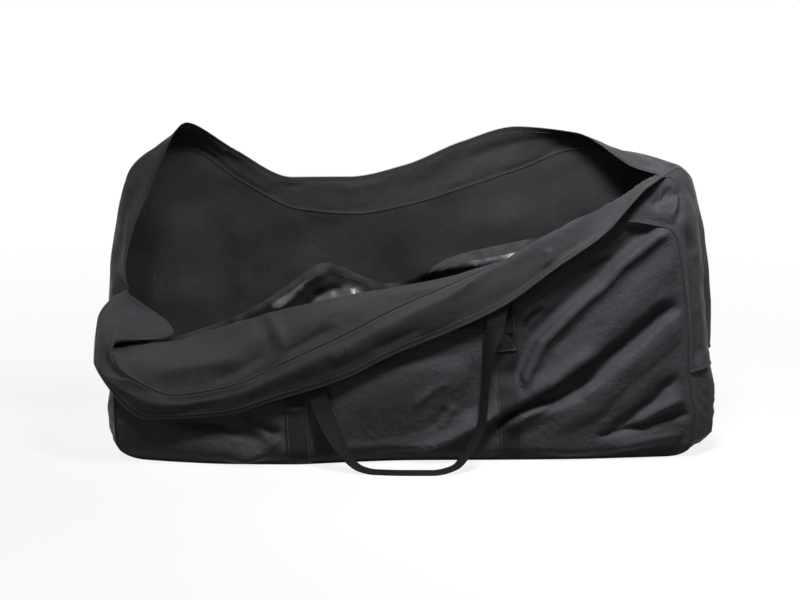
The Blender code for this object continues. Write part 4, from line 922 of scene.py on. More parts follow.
# %% Piping
def tube(name, path, radius, finish):
    """Closed round tube along a path, from a curve with a bevel."""
    curve = bpy.data.curves.new(name, "CURVE")
    curve.dimensions = "3D"
    line = curve.splines.new("POLY")
    line.points.add(len(path) - 1)
    line.points.foreach_set("co", np.column_stack([path, np.ones(len(path))]).reshape(-1))
    line.use_cyclic_u = True
    curve.bevel_depth = radius
    curve.bevel_resolution = 3
    made = bpy.data.objects.new(name, curve)
    bpy.context.scene.collection.objects.link(made)
    only(made)
    bpy.ops.object.convert(target="MESH")
    made = bpy.context.object
    if not made.data.uv_layers:
        made.data.uv_layers.new(name="UVMap")
    made.data.materials.append(finish)
    bpy.ops.object.shade_smooth_by_angle(angle=SMOOTH_ANGLE)
    return made


def seam_loop(seams):
    """Closed seam line round a wall, anticlockwise from its lower left corner."""
    return np.concatenate([seams[0, :-1], seams[:-1, -1], seams[-1, :0:-1], seams[:0:-1, 0]])


PIPING_RADIUS = 0.0024
for side, seams in (("front", front_seams), ("back", back_seams)):
    piping = tube(f"{side}_seam_piping", seam_loop(seams), PIPING_RADIUS, cord_cloth)
    register(piping, "piping_cord", f"{side}_piping")
    print(side, "piping", len(piping.data.polygons))

# %% [markdown]
# ## Zip gusset
# The gusset is a long strip between each wall and the zip. From the seam it goes to a fold and then
# to the lip, where the zip tape is sewn on. At both ends the zip is still shut, so the two lips run
# straight and meet. Between them the strip flops outward at the front and stands up at the back.

# %% Gusset lines
GUSSET_ROWS, TAPE_ROWS = 26, 5
# The cloth turns into its shut stretch over the last few open stations
TURN_STATIONS = 7
INNER_COLUMN, INNER_ROW = 9, 4
# How far the gusset's cloth reaches over the zip tape, and how far the tape ends short of the lip
TAPE_OVERLAP, TAPE_EDGE = 0.002, 0.0012


def gusset_seam(seams):
    """Seam points of a gusset, their places, and the way out of the wall at each of them."""
    legs = []
    for column, inner in ((0, INNER_COLUMN), (-1, -1 - INNER_COLUMN)):
        leg = seams[CROSS_ROW:, column]
        legs.append((leg, running(leg) / running(leg)[-1], leg - seams[CROSS_ROW:, inner]))
    (left, left_rise, left_out), (right, right_rise, right_out) = legs
    middle = np.linspace(0, 1, WALL_COLUMNS)[1:-1]
    points = np.concatenate([left, seams[-1, 1:-1], right[::-1]])
    out = np.concatenate([left_out, (seams[-1] - seams[-1 - INNER_ROW])[1:-1], right_out[::-1]])
    return points, np.concatenate([left_rise, 1 + middle, 3 - right_rise[::-1]]), unit(out)


def gusset_lines(table, open_places, places, side):
    """Fold and lip of a gusset at its stations, and 1 at the stations where the zip is shut."""
    at = np.array([row[0] for row in table])
    folds, lips = (np.array([real(row[k]) for row in table]) for k in (1, 2))
    stations = [int(np.argmin(np.abs(places - p))) for p in open_places]
    rows = [int(np.argmin(np.abs(at - p))) for p in open_places]
    at[rows] = places[stations]
    fold, lip = (np.stack([pchip(at, c, places) for c in line.T], axis=1) for line in (folds, lips))
    shut = np.zeros(len(places))
    for first, last, a, b in ((0, stations[0], 0, rows[0]), (stations[1], len(places) - 1, rows[1], -1)):
        part = slice(first, last + 1)
        share = (places[part] - places[first]) / (places[last] - places[first])
        lip[part] = lips[a] + (lips[b] - lips[a]) * share[:, None]
        shut[part] = 1
    lip[:, 1] += side * ZIP_SLIT / 2
    return fold, lip, shut


def gusset_strips(seam, out, folds, lips, shut, side):
    """Grids of the gusset's cloth and of its zip tape, by stations and from the seam to the lip."""
    strips = []
    tapes = []
    steps = np.abs(np.arange(len(shut))[:, None] - np.flatnonzero(shut)[None]).min(axis=1)
    shut = ease(1 - steps / TURN_STATIONS)
    lead = np.array([0, side, 0]) * 2 * TAPE_WIDTH
    runs = unit(np.gradient(seam, axis=0))
    for point, run, away, fold, lip, closed in zip(seam, runs, out, folds, lips, shut):
        leave = unit(fold - point) + away
        leave = point + unit(leave - run * (leave * run).sum()) * SEAM_LEAD
        toward = unit(fold - lip) * 2 * TAPE_WIDTH
        near_lip = lip + toward + (lead - toward) * closed
        path = smooth_path([point, leave, fold, near_lip, lip])
        tape_start = running(path)[-1] - TAPE_WIDTH
        strips.append(at_distance(path, np.linspace(SEAM_EDGE, tape_start + TAPE_OVERLAP, GUSSET_ROWS)))
        tapes.append(at_distance(path, np.linspace(tape_start, tape_start + TAPE_WIDTH - TAPE_EDGE, TAPE_ROWS)))
    return np.array(strips).transpose(1, 0, 2), np.array(tapes).transpose(1, 0, 2)


GUSSET_FOLDS = {
    "front": (
        (hump(-0.004, 5, 5), [(330, 364), (345, 352), (352, 342)]),
        (hump(0.004, 6, 7), [(370, 352), (400, 338), (430, 326)]),
        (hump(-0.006, 4, 4), [(545, 270), (549, 258), (548, 246)]),
        (hump(0.004, 7, 7), [(556, 262), (580, 246), (600, 232)]),
        (hump(0.004, 8, 8), [(180, 412), (220, 402), (260, 388)]),
        (hump(-0.007, 5, 6), [(650, 208), (664, 197), (674, 190)]),
        (hump(0.009, 4, 5), [(667, 228), (673, 210), (674, 192), (668, 178)]),
        (hump(-0.010, 4, 6), [(674, 226), (681, 208), (681, 190), (674, 178)]),
        (hump(-0.012, 7, 6), [(684, 222), (692, 250), (697, 320), (698, 390)], 0.15),
        (hump(0.004, 8, 5), [(686, 262), (700, 252), (722, 250)], 0.4),
        (hump(0.003, 6, 6), [(690, 322), (704, 304), (722, 296)], 0.4),
        (hump(-0.003, 6, 6), [(690, 372), (702, 350), (718, 338)], 0.4),
        # small creases where the flap turns over
        (hump(0.004, 2.5, 2.5), [(108, 336), (130, 327), (154, 321)], 0.4),
        (hump(-0.004, 2.5, 3), [(110, 339), (136, 333), (164, 331)], 0.4),
        (hump(0.003, 3, 3), [(128, 318), (146, 316), (162, 322)], 0.4),
    ),
    "back": (
        (hump(0.006, 6, 6), [(128, 280), (130, 240), (146, 190)]),
        (hump(-0.005, 6, 6), [(118, 270), (122, 220), (140, 175)]),
    ),
}
# How far a gusset laps over the end wall, along it and outward
LAP, LAP_LIFT = 0.005, 0.0021


def lapped(strip, end, outward):
    """Extra station at an end of a gusset, where it lies on the outside of the end wall."""
    run = unit(strip[:, end] - strip[:, end - outward * 2])
    return (strip[:, end] + run * LAP + np.array([outward * LAP_LIFT, 0, 0]))[:, None]


# Where the flopped gusset has been pulled inward over the crest at the left, and how far
PULL_PLACE, PULL_SPREAD, PULL_REACH, PULL_FADE = 0.40, 0.13, 0.7, 0.4
PULL = np.array([0.060, -0.012, -0.028])
# Folds fade out over this share of the strip at the seam and the lip, and these stations at its ends
STRIP_FADE, END_STATIONS = 0.2, 12
tape_of, folds_of, gusset_of = {}, {}, {}
for side, seams, table, facing in (
    ("front", front_seams, FRONT_GUSSET, -1),
    ("back", back_seams, BACK_GUSSET, 1),
):
    seam, places_along, out = gusset_seam(seams)
    folds_of[side], lips, shut = gusset_lines(table, OPEN_PLACES[side], places_along, facing)
    strip, tape_of[side] = gusset_strips(seam, out, folds_of[side], lips, shut, facing)
    stations = np.arange(strip.shape[1])
    loose = fade(GUSSET_ROWS, STRIP_FADE, STRIP_FADE)[:, None]
    loose = loose * ease(np.minimum(stations, stations[::-1]) / END_STATIONS)
    lift = fold_lift(strip, GUSSET_FOLDS[side])
    lift += waves(strip, 0.06, 0.005, 2, 2) + waves(strip, 0.025, 0.0018, 9, 2)
    strip = moved(strip, lift * loose * -facing)
    if side == "front":
        near = np.exp(-(((places_along - PULL_PLACE) / PULL_SPREAD) ** 2))
        near = near * ease((1 - np.abs(places_along - PULL_PLACE) / PULL_REACH) / PULL_FADE)
        rise = np.sin(math.pi * np.linspace(0, 1, GUSSET_ROWS)[:, None]) ** 1.5
        strip = strip + near[None, :, None] * rise[..., None] * PULL
    strip = np.concatenate([lapped(strip, 0, -1), strip, lapped(strip, -1, 1)], axis=1)
    finishes = (lining_painted_shade, oxford) if side == "back" else (oxford, lining_painted_shade)
    sewn(f"{side}_gusset_cloth", strip, finishes, "oxford_fabric", f"{side}_zip_gusset", held="folded")
    gusset_of[side] = strip
print("gusset grid", strip.shape)

# %% [markdown]
# ## Zips
# A coil zip has a nylon spiral along the edge of each tape, so each tooth is a small rounded bar
# that lies across the edge. One tooth is modelled and copied along the lip, about two millimetres apart.

# %% Zip tapes and teeth
TOOTH_PITCH = 0.0022
TOOTH_SIZE = (0.0013, 0.0040, 0.0026)
TOOTH_REACH = 0.0002
TAPE_CLOTH = 0.0011


def small_shape(size):
    """Points and faces of the newest primitive at a size. The primitive itself is removed."""
    made = bpy.context.object
    bpy.ops.object.mode_set(mode="EDIT")
    bpy.ops.mesh.select_all(action="SELECT")
    bpy.ops.transform.resize(value=size)
    bpy.ops.object.mode_set(mode="OBJECT")
    points = np.array([v.co for v in made.data.vertices])
    faces = [tuple(p.vertices) for p in made.data.polygons]
    bpy.data.objects.remove(made)
    return points, faces


bpy.ops.object.select_all(action="DESELECT")
bpy.ops.mesh.primitive_uv_sphere_add(segments=8, ring_count=5, radius=0.5)
tooth = small_shape(TOOTH_SIZE)


def copies(name, shape, places, runs, across, normals, finish):
    """One mesh with a copy of a small shape at each place, turned to the three directions there."""
    corners, faces = shape
    points = places[:, None]
    for k, way in enumerate((runs, across, normals)):
        points = points + corners[None, :, k, None] * way[:, None]
    sizes = np.tile([len(f) for f in faces], len(places))
    starts = np.append(0, np.cumsum(sizes)[:-1])
    loops = np.concatenate(faces)[None] + (np.arange(len(places)) * len(corners))[:, None]
    mesh = bpy.data.meshes.new(name)
    mesh.vertices.add(len(places) * len(corners))
    mesh.vertices.foreach_set("co", points.reshape(-1).astype(np.float32))
    mesh.loops.add(loops.size)
    mesh.loops.foreach_set("vertex_index", loops.reshape(-1).astype(np.int32))
    mesh.polygons.add(len(sizes))
    mesh.polygons.foreach_set("loop_start", starts.astype(np.int32))
    mesh.update(calc_edges=True)
    mesh.validate()
    mesh.uv_layers.new(name="UVMap")
    mesh.materials.append(finish)
    made = bpy.data.objects.new(name, mesh)
    bpy.context.scene.collection.objects.link(made)
    only(made)
    bpy.ops.object.shade_smooth()
    return made


def frames_along(path, outward, spacing):
    """Even places along a path, with the run and the given directions there."""
    length = running(path)[-1]
    at = np.arange(spacing / 2, length, spacing)
    after, before = np.minimum(at + spacing / 2, length), np.maximum(at - spacing / 2, 0)
    run = unit(at_distance(path, after) - at_distance(path, before))
    ways = []
    for way in outward:
        way = np.stack([np.interp(at, running(path), c) for c in way.T], axis=1)
        ways.append(unit(way - run * (way * run).sum(axis=1, keepdims=True)))
    return at_distance(path, at), run, ways


def zip_half(name, tape, node):
    """Zip tape with its teeth along the free edge."""
    sewn(f"{name}_cloth", tape, (tape_cloth,), "zip_tape", node, thickness=TAPE_CLOTH, held="stretched")
    across = unit(tape[-1] - tape[0])
    normal = np.cross(np.gradient(tape[-1], axis=0), across)
    places, run, (over_edge, out) = frames_along(tape[-1], (across, unit(normal)), TOOTH_PITCH)
    places = places + over_edge * TOOTH_REACH
    register(copies(f"{name}_teeth", tooth, places, run, over_edge, out, nylon), "zip_tape")
    print(name, len(places), "teeth")


for side in ("front", "back"):
    zip_half(f"{side}_zip", tape_of[side], f"{side}_zip_tape")

# %% [markdown]
# ## Lower end walls and base
# Below the zip each end is a plain wall that is rounded in plan. The base is a stiff padded plate
# under the same cloth.

# %% End walls and base
END_COLUMNS, END_MARGIN = 49, 0.15
BASE_ROWS, BASE_STEP, BASE_GAP = 13, 4, 0.0004


def end_cloth(seams, folds, lip, belly):
    """Grid of a lower end wall from its front seam to its back seam."""
    lead = np.array([0, 2 * TAPE_WIDTH, 0])
    top = np.array([seams[0][-1], folds[0], lip - lead, lip, lip + lead, folds[1], seams[1][-1]])
    shares = (top[:, 1] - top[0, 1]) / (top[-1, 1] - top[0, 1])
    swell = top - (top[0] + (top[-1] - top[0]) * shares[:, None])
    grid = []
    for j, (front, back) in enumerate(zip(*seams)):
        rise = j / FOOT_TURN if j < FOOT_TURN else 1 + (j - FOOT_TURN) / LOW_ROWS
        fullness = along(belly, rise / 2) * min(rise, 1)
        path = smooth_path(front + (back - front) * shares[:, None] + swell * fullness)
        grid.append(at_distance(path, np.linspace(SEAM_EDGE, running(path)[-1] - SEAM_EDGE, END_COLUMNS)))
    return np.array(grid)


for name, k, belly, order in (("left", 0, LEFT_BELLY, -1), ("right", -1, RIGHT_BELLY, 1)):
    ends = (front_seams[: CROSS_ROW + 1, k], back_seams[: CROSS_ROW + 1, k])
    grid = end_cloth(ends, (folds_of["front"][k], folds_of["back"][k]), real(FRONT_GUSSET[k][2]), belly)
    grid = grid[:, ::order]
    loose = fade(len(grid), END_MARGIN, END_MARGIN)[:, None] * fade(END_COLUMNS, END_MARGIN, END_MARGIN)
    lift = waves(grid, 0.06, 0.007, 4) + waves(grid, 0.03, 0.003, 8, ridged=True)
    grid = moved(grid, lift * loose)
    sewn(f"{name}_end_wall", grid, (oxford, lining_painted_shade), "oxford_fabric", f"{name}_end_panel", held="stretched")

front_edge, back_edge = front_seams[0, ::BASE_STEP], back_seams[0, ::BASE_STEP]
grid = front_edge[None] + (back_edge - front_edge)[None] * np.linspace(0, 1, BASE_ROWS)[:, None, None]
grid[..., 2] = BASE_THICKNESS / 2
base, _ = cloth("padded_base", grid, (lining_painted_shade, oxford), BASE_THICKNESS - BASE_GAP)
register(base, "oxford_fabric", "base_panel")
print("base", grid.shape)

# %% [markdown]
# ## Divider
# A wide flap stands on the base, so that what lies before it doesn't rub on what lies behind it. Its
# cloth is coated and shines, and its top edge is bound with tape.

# %% Divider
DIVIDER_FOLDS = (
    (hump(0.012, 9, 9), [(270, 320), (292, 296), (310, 276), (330, 268)]),
    (hump(-0.012, 8, 8), [(300, 318), (316, 298), (332, 290), (348, 296)]),
    (hump(0.012, 8, 8), [(330, 312), (350, 300), (362, 292)]),
    (hump(0.016, 13, 6), [(392, 284), (430, 269), (470, 265), (510, 261), (545, 252)]),
    (hump(-0.008, 6, 6), [(400, 298), (440, 284), (480, 276), (520, 268)]),
)
DIVIDER_COLUMNS, DIVIDER_ROWS = 230, 70
DIVIDER_CLOTH, BINDING_CLOTH, BINDING_RISE, DIVIDER_GAP = 0.0014, 0.0008, 0.0012, 0.0008
FOOT_FADE, SIDE_FADE = 0.3, 0.06
# The curve of the top edge is shifted to the left near one place
SHIFT_PLACE, SHIFT_SPREAD, TOP_SHIFT = 0.38, 0.12, 0.035
u = np.linspace(0, 1, DIVIDER_COLUMNS)
top = along(DIVIDER_TOP, u + TOP_SHIFT * np.exp(-(((u - SHIFT_PLACE) / SHIFT_SPREAD) ** 2))) * BAG_HEIGHT
foot = BASE_THICKNESS + DIVIDER_GAP
grid = []
for t in np.linspace(0, 1, DIVIDER_ROWS):
    z = foot + (top - foot) * t
    # the foot is drawn in to clear the round corners of the base
    draw = np.maximum(1 - z / (2 * CORNER_RADIUS), 0) ** 2 * 2 * CORNER_RADIUS / DIVIDER_LENGTH
    x = DIVIDER_SHIFT * PANEL_LENGTH + (u - 1 / 2) * DIVIDER_LENGTH * (1 - draw)
    grid.append(np.stack([x, along(DIVIDER_Y, u) * BAG_DEPTH, z], axis=1))
grid = np.array(grid)
loose = ease(np.linspace(0, 1, DIVIDER_ROWS)[:, None] / FOOT_FADE) * fade(DIVIDER_COLUMNS, SIDE_FADE, SIDE_FADE)
lift = fold_lift(grid, DIVIDER_FOLDS) + waves(grid, 0.10, 0.010, 1) + waves(grid, 0.04, 0.0035, 6, ridged=True)
grid = moved(grid, lift * loose)
sewn("wheel_divider_cloth", grid, (shiny,), "coated_fabric", "wheel_divider", thickness=DIVIDER_CLOTH)
hem = grid[-4:-1]
side_step = grid_normals(grid)[-4:-1] * DIVIDER_CLOTH
over_top = grid[-1:] + np.array([0, 0, BINDING_RISE])
rows = np.concatenate([hem + side_step, over_top, (hem - side_step)[::-1]])
sewn(
    "divider_binding_tape", rows, (tape_cloth,), "zip_tape", "divider_binding",
    thickness=BINDING_CLOTH, held="folded",
)
print("divider grid", grid.shape)

# %% [markdown]
# ## Webbings and patches
# Two bands of webbing are sewn up each wall, and they lie on whatever folds the wall has. A patch with
# a stitched cross fixes each end of a handle.


# %% Webbings
def row_at(grid, column, height):
    """Fractional row of a wall's column, below its crest, that lies at a height."""
    line = grid[:, int(column), 2]
    crest = int(np.argmax(line))
    return float(np.interp(height, np.maximum.accumulate(line[: crest + 1]), np.arange(crest + 1)))


def laid(grid, normals, rows, columns, offset, steps):
    """Part of a wall between rows and columns, lifted off it along its normals."""
    r = np.linspace(*rows, steps[0])[:, None] + np.zeros((1, steps[1]))
    c = np.linspace(*columns, steps[1])[None] + np.zeros((steps[0], 1))
    return sample(grid, r, c) + unit(sample(normals, r, c)) * offset


walls = {
    "front": (front_grid, grid_normals(front_grid)),
    "back": (back_grid, -grid_normals(back_grid)),
}
BAND = 0.0017
BAND_LIFT, PATCH_LIFT, CROSS_LIFT = 0.0029, 0.0048, 0.0058
BAND_GRID, PATCH_GRID, CROSS_STEPS = (90, 11), (24, 11), 20
# The first row of the band, and how far the band and the patch stay inside their boxes
BAND_START, BAND_INSET, PATCH_INSET = 0.4, 0.001, 0.002
# How far the stitches lie in from the patch's ends and sides, in rows and columns of the wall
CROSS_INSET = (1.2, 1.0)
# The band is stitched this share of the way from its second column to its edge
EDGE_SHARE = 0.3
STITCHES = []
for side in ("front", "back"):
    grid, normals = walls[side]
    for k, hand in enumerate(("left", "right")):
        name = f"{hand}_{side}"
        edges = np.array(webbing_places()[2 * k : 2 * k + 2]) * (WALL_COLUMNS - 1)
        middle = edges.mean()
        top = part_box(f"{name}_webbing")[1].z
        low, high = (corner.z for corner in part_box(f"{name}_patch"))
        reach = (BAND_START, row_at(grid, middle, top - BAND_INSET))
        band = laid(grid, normals, reach, edges, BAND_LIFT, BAND_GRID)
        spot = np.array([row_at(grid, middle, z) for z in (low + PATCH_INSET, high - PATCH_INSET)])
        patch = laid(grid, normals, spot, edges, PATCH_LIFT, PATCH_GRID)
        for piece, rows, node in (("webbing_band", band, "webbing"), ("stitched_patch", patch, "patch")):
            if side == "back":
                rows = rows[:, ::-1]
            sewn(
                f"{name}_{piece}", rows, (strap_cloth,), "webbing", f"{name}_{node}",
                thickness=BAND, held="stretched",
            )
        STITCHES += [band[:, a] + (band[:, b] - band[:, a]) * EDGE_SHARE for a, b in ((1, 0), (-2, -1))]
        inside = [ends + np.array([inset, -inset]) for ends, inset in zip((spot, edges), CROSS_INSET)]
        inner = laid(grid, normals, *inside, CROSS_LIFT, (CROSS_STEPS, CROSS_STEPS))
        steps = np.arange(CROSS_STEPS)
        STITCHES += [inner[0], inner[-1], inner[:, 0], inner[:, -1]]
        STITCHES += [inner[steps, steps], inner[steps, steps[::-1]]]
print("stitch lines", len(STITCHES))

# %% [markdown]
# ## Handles
# Each handle is one long strap. It climbs over its patch, bends outward, falls free as a loop and
# ends in the same way on the other side.

# %% Handle straps
# Shares of the webbings' distance, the bag's depth and the drop, then turn and twist in whole turns
FRONT_DROP_SHARE = 0.2115
FRONT_LOOP = (
    (-0.410, -0.715, 1.000, 0.00, 0.00),
    (-0.388, -0.735, 0.800, 0.00, -0.03),
    (-0.345, -0.780, 0.520, 0.00, -0.10),
    (-0.290, -0.830, 0.250, 0.10, -0.13),
    (-0.225, -0.870, 0.060, 0.24, -0.01),
    (-0.150, -0.895, 0.0110, 0.25, 0.00),
    (-0.010, -0.920, 0.0110, 0.25, 0.00),
    (0.120, -0.920, 0.0110, 0.25, 0.00),
    (0.225, -0.890, 0.080, 0.24, -0.02),
    (0.262, -0.865, 0.190, 0.22, -0.05),
    (0.300, -0.830, 0.330, 0.08, -0.16),
    (0.350, -0.770, 0.700, 0.00, -0.19),
    (0.366, -0.720, 1.150, 0.00, -0.19),
    (0.378, -0.690, 1.600, 0.00, -0.16),
    (0.412, -0.665, 2.030, 0.00, 0.00),
)
FRONT_LOOP_SCALE = np.array([WEBBING_SPACING, BAG_DEPTH, FRONT_DROP_SHARE * BAG_HEIGHT, 1, 1])
# Points in metres, then turn and twist
BACK_LOOP = (
    (-0.2226, 0.1473, 0.4145, 0, 0), (-0.2179, 0.1505, 0.3752, 0, 0), (-0.2085, 0.1522, 0.3367, 0, 0),
    (-0.1814, 0.1535, 0.2839, 0, 0), (-0.1362, 0.1537, 0.2457, 0, 0), (-0.0814, 0.1537, 0.2230, 0, 0),
    (-0.0032, 0.1527, 0.2100, 0, 0), (0.0760, 0.1519, 0.2153, 0, 0), (0.1336, 0.1509, 0.2296, 0, 0),
    (0.1843, 0.1496, 0.2604, 0, 0), (0.2185, 0.1478, 0.3086, 0, 0), (0.2355, 0.1451, 0.3654, 0, 0),
    (0.2403, 0.1419, 0.4047, 0, 0),
)
# Points of each strap's end on the wall, the start of its bend above the patch, and points below it
ROOTS = {
    "left_front": (
        ((-0.2374, -0.1418, 0.2511),),
        (-0.2381, -0.1372, 0.2782),
        ((-0.2295, -0.1541, 0.2601), (-0.2208, -0.1569, 0.2420), (-0.2121, -0.1598, 0.2239),
         (-0.2039, -0.1627, 0.2057), (-0.1964, -0.1656, 0.1871), (-0.1899, -0.1685, 0.1681)),
    ),
    "right_front": (
        ((0.2044, -0.1410, 0.2817), (0.2017, -0.1390, 0.3237)),
        (0.1981, -0.1361, 0.3656),
        ((0.1924, -0.1547, 0.3448), (0.1880, -0.1576, 0.3234)),
    ),
    "left_back": (
        ((-0.2255, 0.1348, 0.4237),), (-0.2226, 0.1333, 0.4486), ((-0.2247, 0.1459, 0.4321),),
    ),
    "right_back": (
        ((0.2420, 0.1291, 0.4151),), (0.2403, 0.1279, 0.4387), ((0.2423, 0.1404, 0.4222),),
    ),
}
BEND_RADIUS, BEND_POINTS = 0.007, 7
STRAP_COLUMNS, STRAP_CLOTH = 9, 0.0018
LOOP_STEP, STRAP_STEP = 0.007, 0.005
BLEND_LENGTH = 0.012


def strap_end(name, facing):
    """Line of a strap's end: up the patch, round a half circle and down again."""
    climb, bend, fall = ROOTS[name]
    turn = np.linspace(0, math.pi, BEND_POINTS)[:, None]
    ring = facing * (1 - np.cos(turn)) * np.array([0, 1, 0]) + np.sin(turn) * np.array([0, 0, 1])
    return np.concatenate([climb, bend + BEND_RADIUS * ring, fall])


def strap_grid(path, across):
    """Grid across a strap along a path."""
    run = unit(np.gradient(path, axis=0))
    across = unit(across - run * (across * run).sum(axis=1, keepdims=True))
    shares = np.linspace(-0.5, 0.5, STRAP_COLUMNS)[:, None, None]
    return path[None] + across[None] * shares * HANDLE_WIDTH


for side, loop, scale, facing in (("front", FRONT_LOOP, FRONT_LOOP_SCALE, -1), ("back", BACK_LOOP, 1, 1)):
    rows = even_path(np.array(loop) * scale, LOOP_STEP)
    path = rows[:, :3]
    angle, twist = (rows[:, k : k + 1] * 2 * math.pi for k in (3, 4))
    toward = np.array([0, facing, 0]) * np.cos(angle) + np.array([0, 0, 1.0]) * np.sin(angle)
    run = unit(np.gradient(path, axis=0))
    across = unit(np.cross(toward, run))
    across = across * np.cos(twist) + np.cross(run, across) * np.sin(twist)
    left, right = strap_end(f"left_{side}", facing), strap_end(f"right_{side}", facing)[::-1]
    whole = np.concatenate([left, path, right])
    ways = np.concatenate([np.tile(across[0], (len(left), 1)), across, np.tile(across[-1], (len(right), 1))])
    dense = even_path(np.column_stack([whole, ways]), STRAP_STEP)
    grid = strap_grid(dense[:, :3], dense[:, 3:])[::-facing]
    strap, _ = cloth(f"{side}_handle_strap", grid, (handle_cloth,), STRAP_CLOTH)
    axis = unit(path[-1] - path[0])
    away = np.array([0, facing, -1.0])
    away = unit(away - axis * (away @ axis)) * BLEND_LENGTH
    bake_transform(strap)
    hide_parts(f"{side}_handle", f"left_{side}_handle_root", f"right_{side}_handle_root")

# %% [markdown]
# ## Pocket
# A flat pocket lies between the webbings. Its cloth is a little too long, so it swells and drops over
# its lower seam. Its zip runs straight, and the strip above it is sewn to the wall.

# %% Pocket
POCKET_FOLDS = (
    (hump(0.008, 28, 34), [(335, 420), (360, 400), (400, 385), (440, 370), (470, 350)]),
    (hump(-0.009, 8, 14), [(468, 424), (472, 390), (476, 350)]),
    (hump(0.004, 5, 5), [(410, 408), (424, 396), (434, 388), (452, 378)]),
    (hump(-0.004, 4, 4), [(430, 428), (440, 418), (446, 404)]),
    (hump(0.005, 4, 4), [(436, 430), (448, 418), (456, 402)]),
    (hump(0.022, 9, 3), [(335, 458), (375, 458), (420, 450), (455, 436), (484, 420), (520, 404)], 0.14),
)
POCKET_CLOTH, POCKET_LIFT = 0.0012, 0.0018
POCKET_ROWS, POCKET_COLUMNS, RISE_ROWS, HEADER_ROWS = 60, 100, 9, 8
# How far the cloth reaches past the webbings' edges, in columns of the wall
SIDE_TUCK = 0.8
# How far above its box the cloth starts, and how far below the top it leaves the wall
FOOT_RISE, HEAD_DROP = 0.004, 0.030
# How far the cloth reaches over the zip tapes, upward and sideways
ZIP_LAP, SIDE_LAP = 0.003, 0.006
FORWARD, SWELL, SINK = 0.007, 0.008, 0.001
POCKET_STITCH_LIFT = 0.0009
box_low, box_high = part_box("pocket_panel")
header_low, header_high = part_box("pocket_header")
tape_low, tape_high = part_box("pocket_lower_tape")
line_y = (tape_low.y + tape_high.y) / 2
grid, normals = walls["front"]
inside = np.array(webbing_places()[1:3]) * (WALL_COLUMNS - 1)
middle = inside.mean()
inside = inside + (-SIDE_TUCK, SIDE_TUCK)
rows = (row_at(grid, middle, box_low.z + FOOT_RISE), row_at(grid, middle, box_high.z - HEAD_DROP))
panel = laid(grid, normals, rows, inside, POCKET_LIFT, (POCKET_ROWS, POCKET_COLUMNS))
panel[..., 1] -= ease(np.linspace(0, 1, POCKET_ROWS)[:, None] ** 2) * FORWARD
top_edge = panel[-1].copy()
top_edge[:, 0] = np.linspace(tape_low.x - SIDE_LAP, tape_high.x + SIDE_LAP, POCKET_COLUMNS)
top_edge[:, 1] = line_y
top_edge[:, 2] = box_high.z + ZIP_LAP
rise = np.linspace(0, 1, RISE_ROWS)[1:, None, None]
panel = np.concatenate([panel, panel[-1] + (top_edge - panel[-1]) * ease(rise)])
tall, wide = (np.sin(math.pi * np.linspace(0, 1, count)) ** 0.6 for count in panel.shape[:2])
loose = fade(len(panel), 0.06, 0.35)[:, None] * fade(POCKET_COLUMNS, 0.07, 0.07)
lift = SWELL * tall[:, None] * wide + fold_lift(panel, POCKET_FOLDS)
lift += waves(panel, 0.06, 0.003, 5, 2) + waves(panel, 0.02, 0.0008, 1, 3)
panel = panel + np.array([0, -1.0, 0]) * (np.maximum(lift, -SINK) * loose)[..., None]
lower = top_edge.copy()
lower[:, 2] = header_low.z - ZIP_LAP
upper_row = row_at(grid, middle, header_high.z)
upper = laid(grid, normals, (upper_row, upper_row), inside, POCKET_LIFT, (1, POCKET_COLUMNS))[0]
header = lower[None] + (upper - lower)[None] * np.linspace(0, 1, HEADER_ROWS)[:, None, None]
for part, rows in (("panel", panel), ("header", header)):
    name = f"pocket_{part}"
    sewn(f"{name}_cloth", rows, (oxford, lining_painted_shade), "oxford_fabric", name, thickness=POCKET_CLOTH)
zip_z = (box_high.z + header_low.z) / 2
line = np.linspace([tape_low.x, line_y, zip_z], [tape_high.x, line_y, zip_z], 60)
for name, up in (("pocket_lower", -1), ("pocket_upper", 1)):
    strip = [line + np.array([0, 0, up * (ZIP_SLIT / 2 + TAPE_WIDTH * s)]) for s in (1.0, 0.7, 0.4, 0.1)]
    zip_half(f"{name}_zip", np.array(strip), f"{name}_tape")
STITCHES += [row + np.array([0, -POCKET_STITCH_LIFT, 0]) for row in (panel[-3], header[1])]

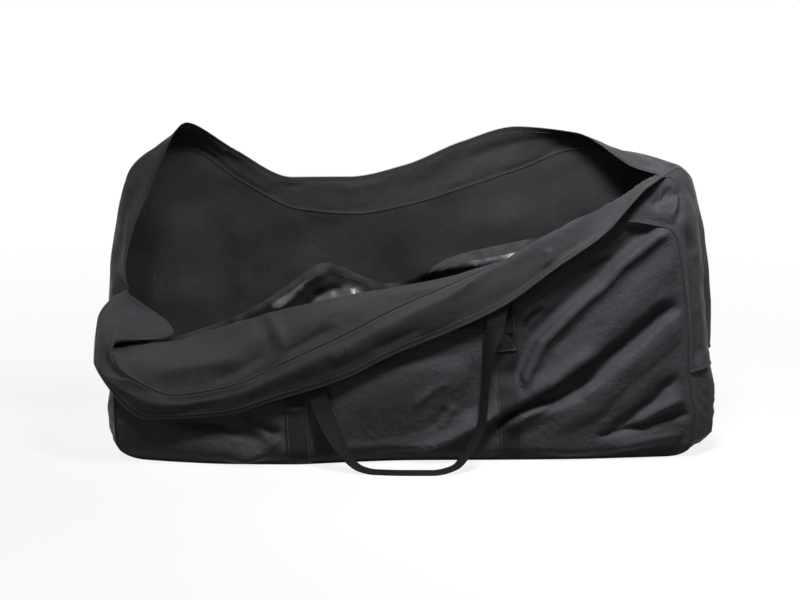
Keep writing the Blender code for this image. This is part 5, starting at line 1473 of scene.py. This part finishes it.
# %% [markdown]
# ## Stitches
# Stitches show as rows of small light dashes, from real light and from the painted sheen of the light grey
# thread. One stitch is a stretched ball, copied along each sewn line with a gap after it.

# %% Stitches
STITCH_PITCH = 0.0052
STITCH_SIZE = (0.0034, 0.0011, 0.0009)
STRAP_STITCH_LIFT, GUSSET_STITCH_LIFT = 0.0010, 0.0011
# Keeps the way out of a stitch a little off the axes, so that it never runs along its line
OFF_AXIS = 1e-6
bpy.ops.object.select_all(action="DESELECT")
bpy.ops.mesh.primitive_ico_sphere_add(subdivisions=1, radius=0.5)
dash = small_shape(STITCH_SIZE)


def stitch_rows(name, lines):
    """One piece with stitches along several lines."""
    parts = []
    for line in lines:
        side = np.tile([0.0, -1.0, 0.0], (len(line), 1)) + OFF_AXIS
        places_on, run, (out,) = frames_along(line, (side,), STITCH_PITCH)
        parts.append((places_on, run, np.cross(out, run), out))
    made = copies(name, dash, *(np.concatenate(p) for p in zip(*parts)), thread)
    register(made, "webbing")
    print(name, len(lines), "lines")


for side, facing in (("front", -1), ("back", 1)):
    lift = np.array([0, facing * STRAP_STITCH_LIFT, 0])
    rows = [line + lift for line in STITCHES if (line[:, 1].mean() >= 0) == (facing > 0)]
    stitch_rows(f"{side}_strap_stitches", rows)

# Rows beside the seam of the collar and along the zip
for side, facing in (("front", 1), ("back", -1)):
    strip = gusset_of[side]
    bend = grid_normals(strip) * facing * GUSSET_STITCH_LIFT
    rows = [strip[1] - bend[1], strip[-2] - bend[-2], strip[1] + bend[1]]
    stitch_rows(f"{side}_gusset_stitches", rows)

# %% [markdown]
# ## Zip hardware
# The sliders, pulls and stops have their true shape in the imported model, so they stay as they are
# and only get black lacquer.

# %% Zip hardware
hardware = [node for name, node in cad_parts.items() if name.endswith(("_slider", "_pull", "_stop"))]
for node in hardware:
    node.data.materials.clear()
    node.data.materials.append(lacquer)
print("hardware", len(hardware))

new_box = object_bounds()
sizes = {"cad": [list(corner) for corner in cad_box], "scene": [list(corner) for corner in new_box]}
for key, (low, high) in sizes.items():
    print(key, [round(v, 3) for v in low], [round(v, 3) for v in high])
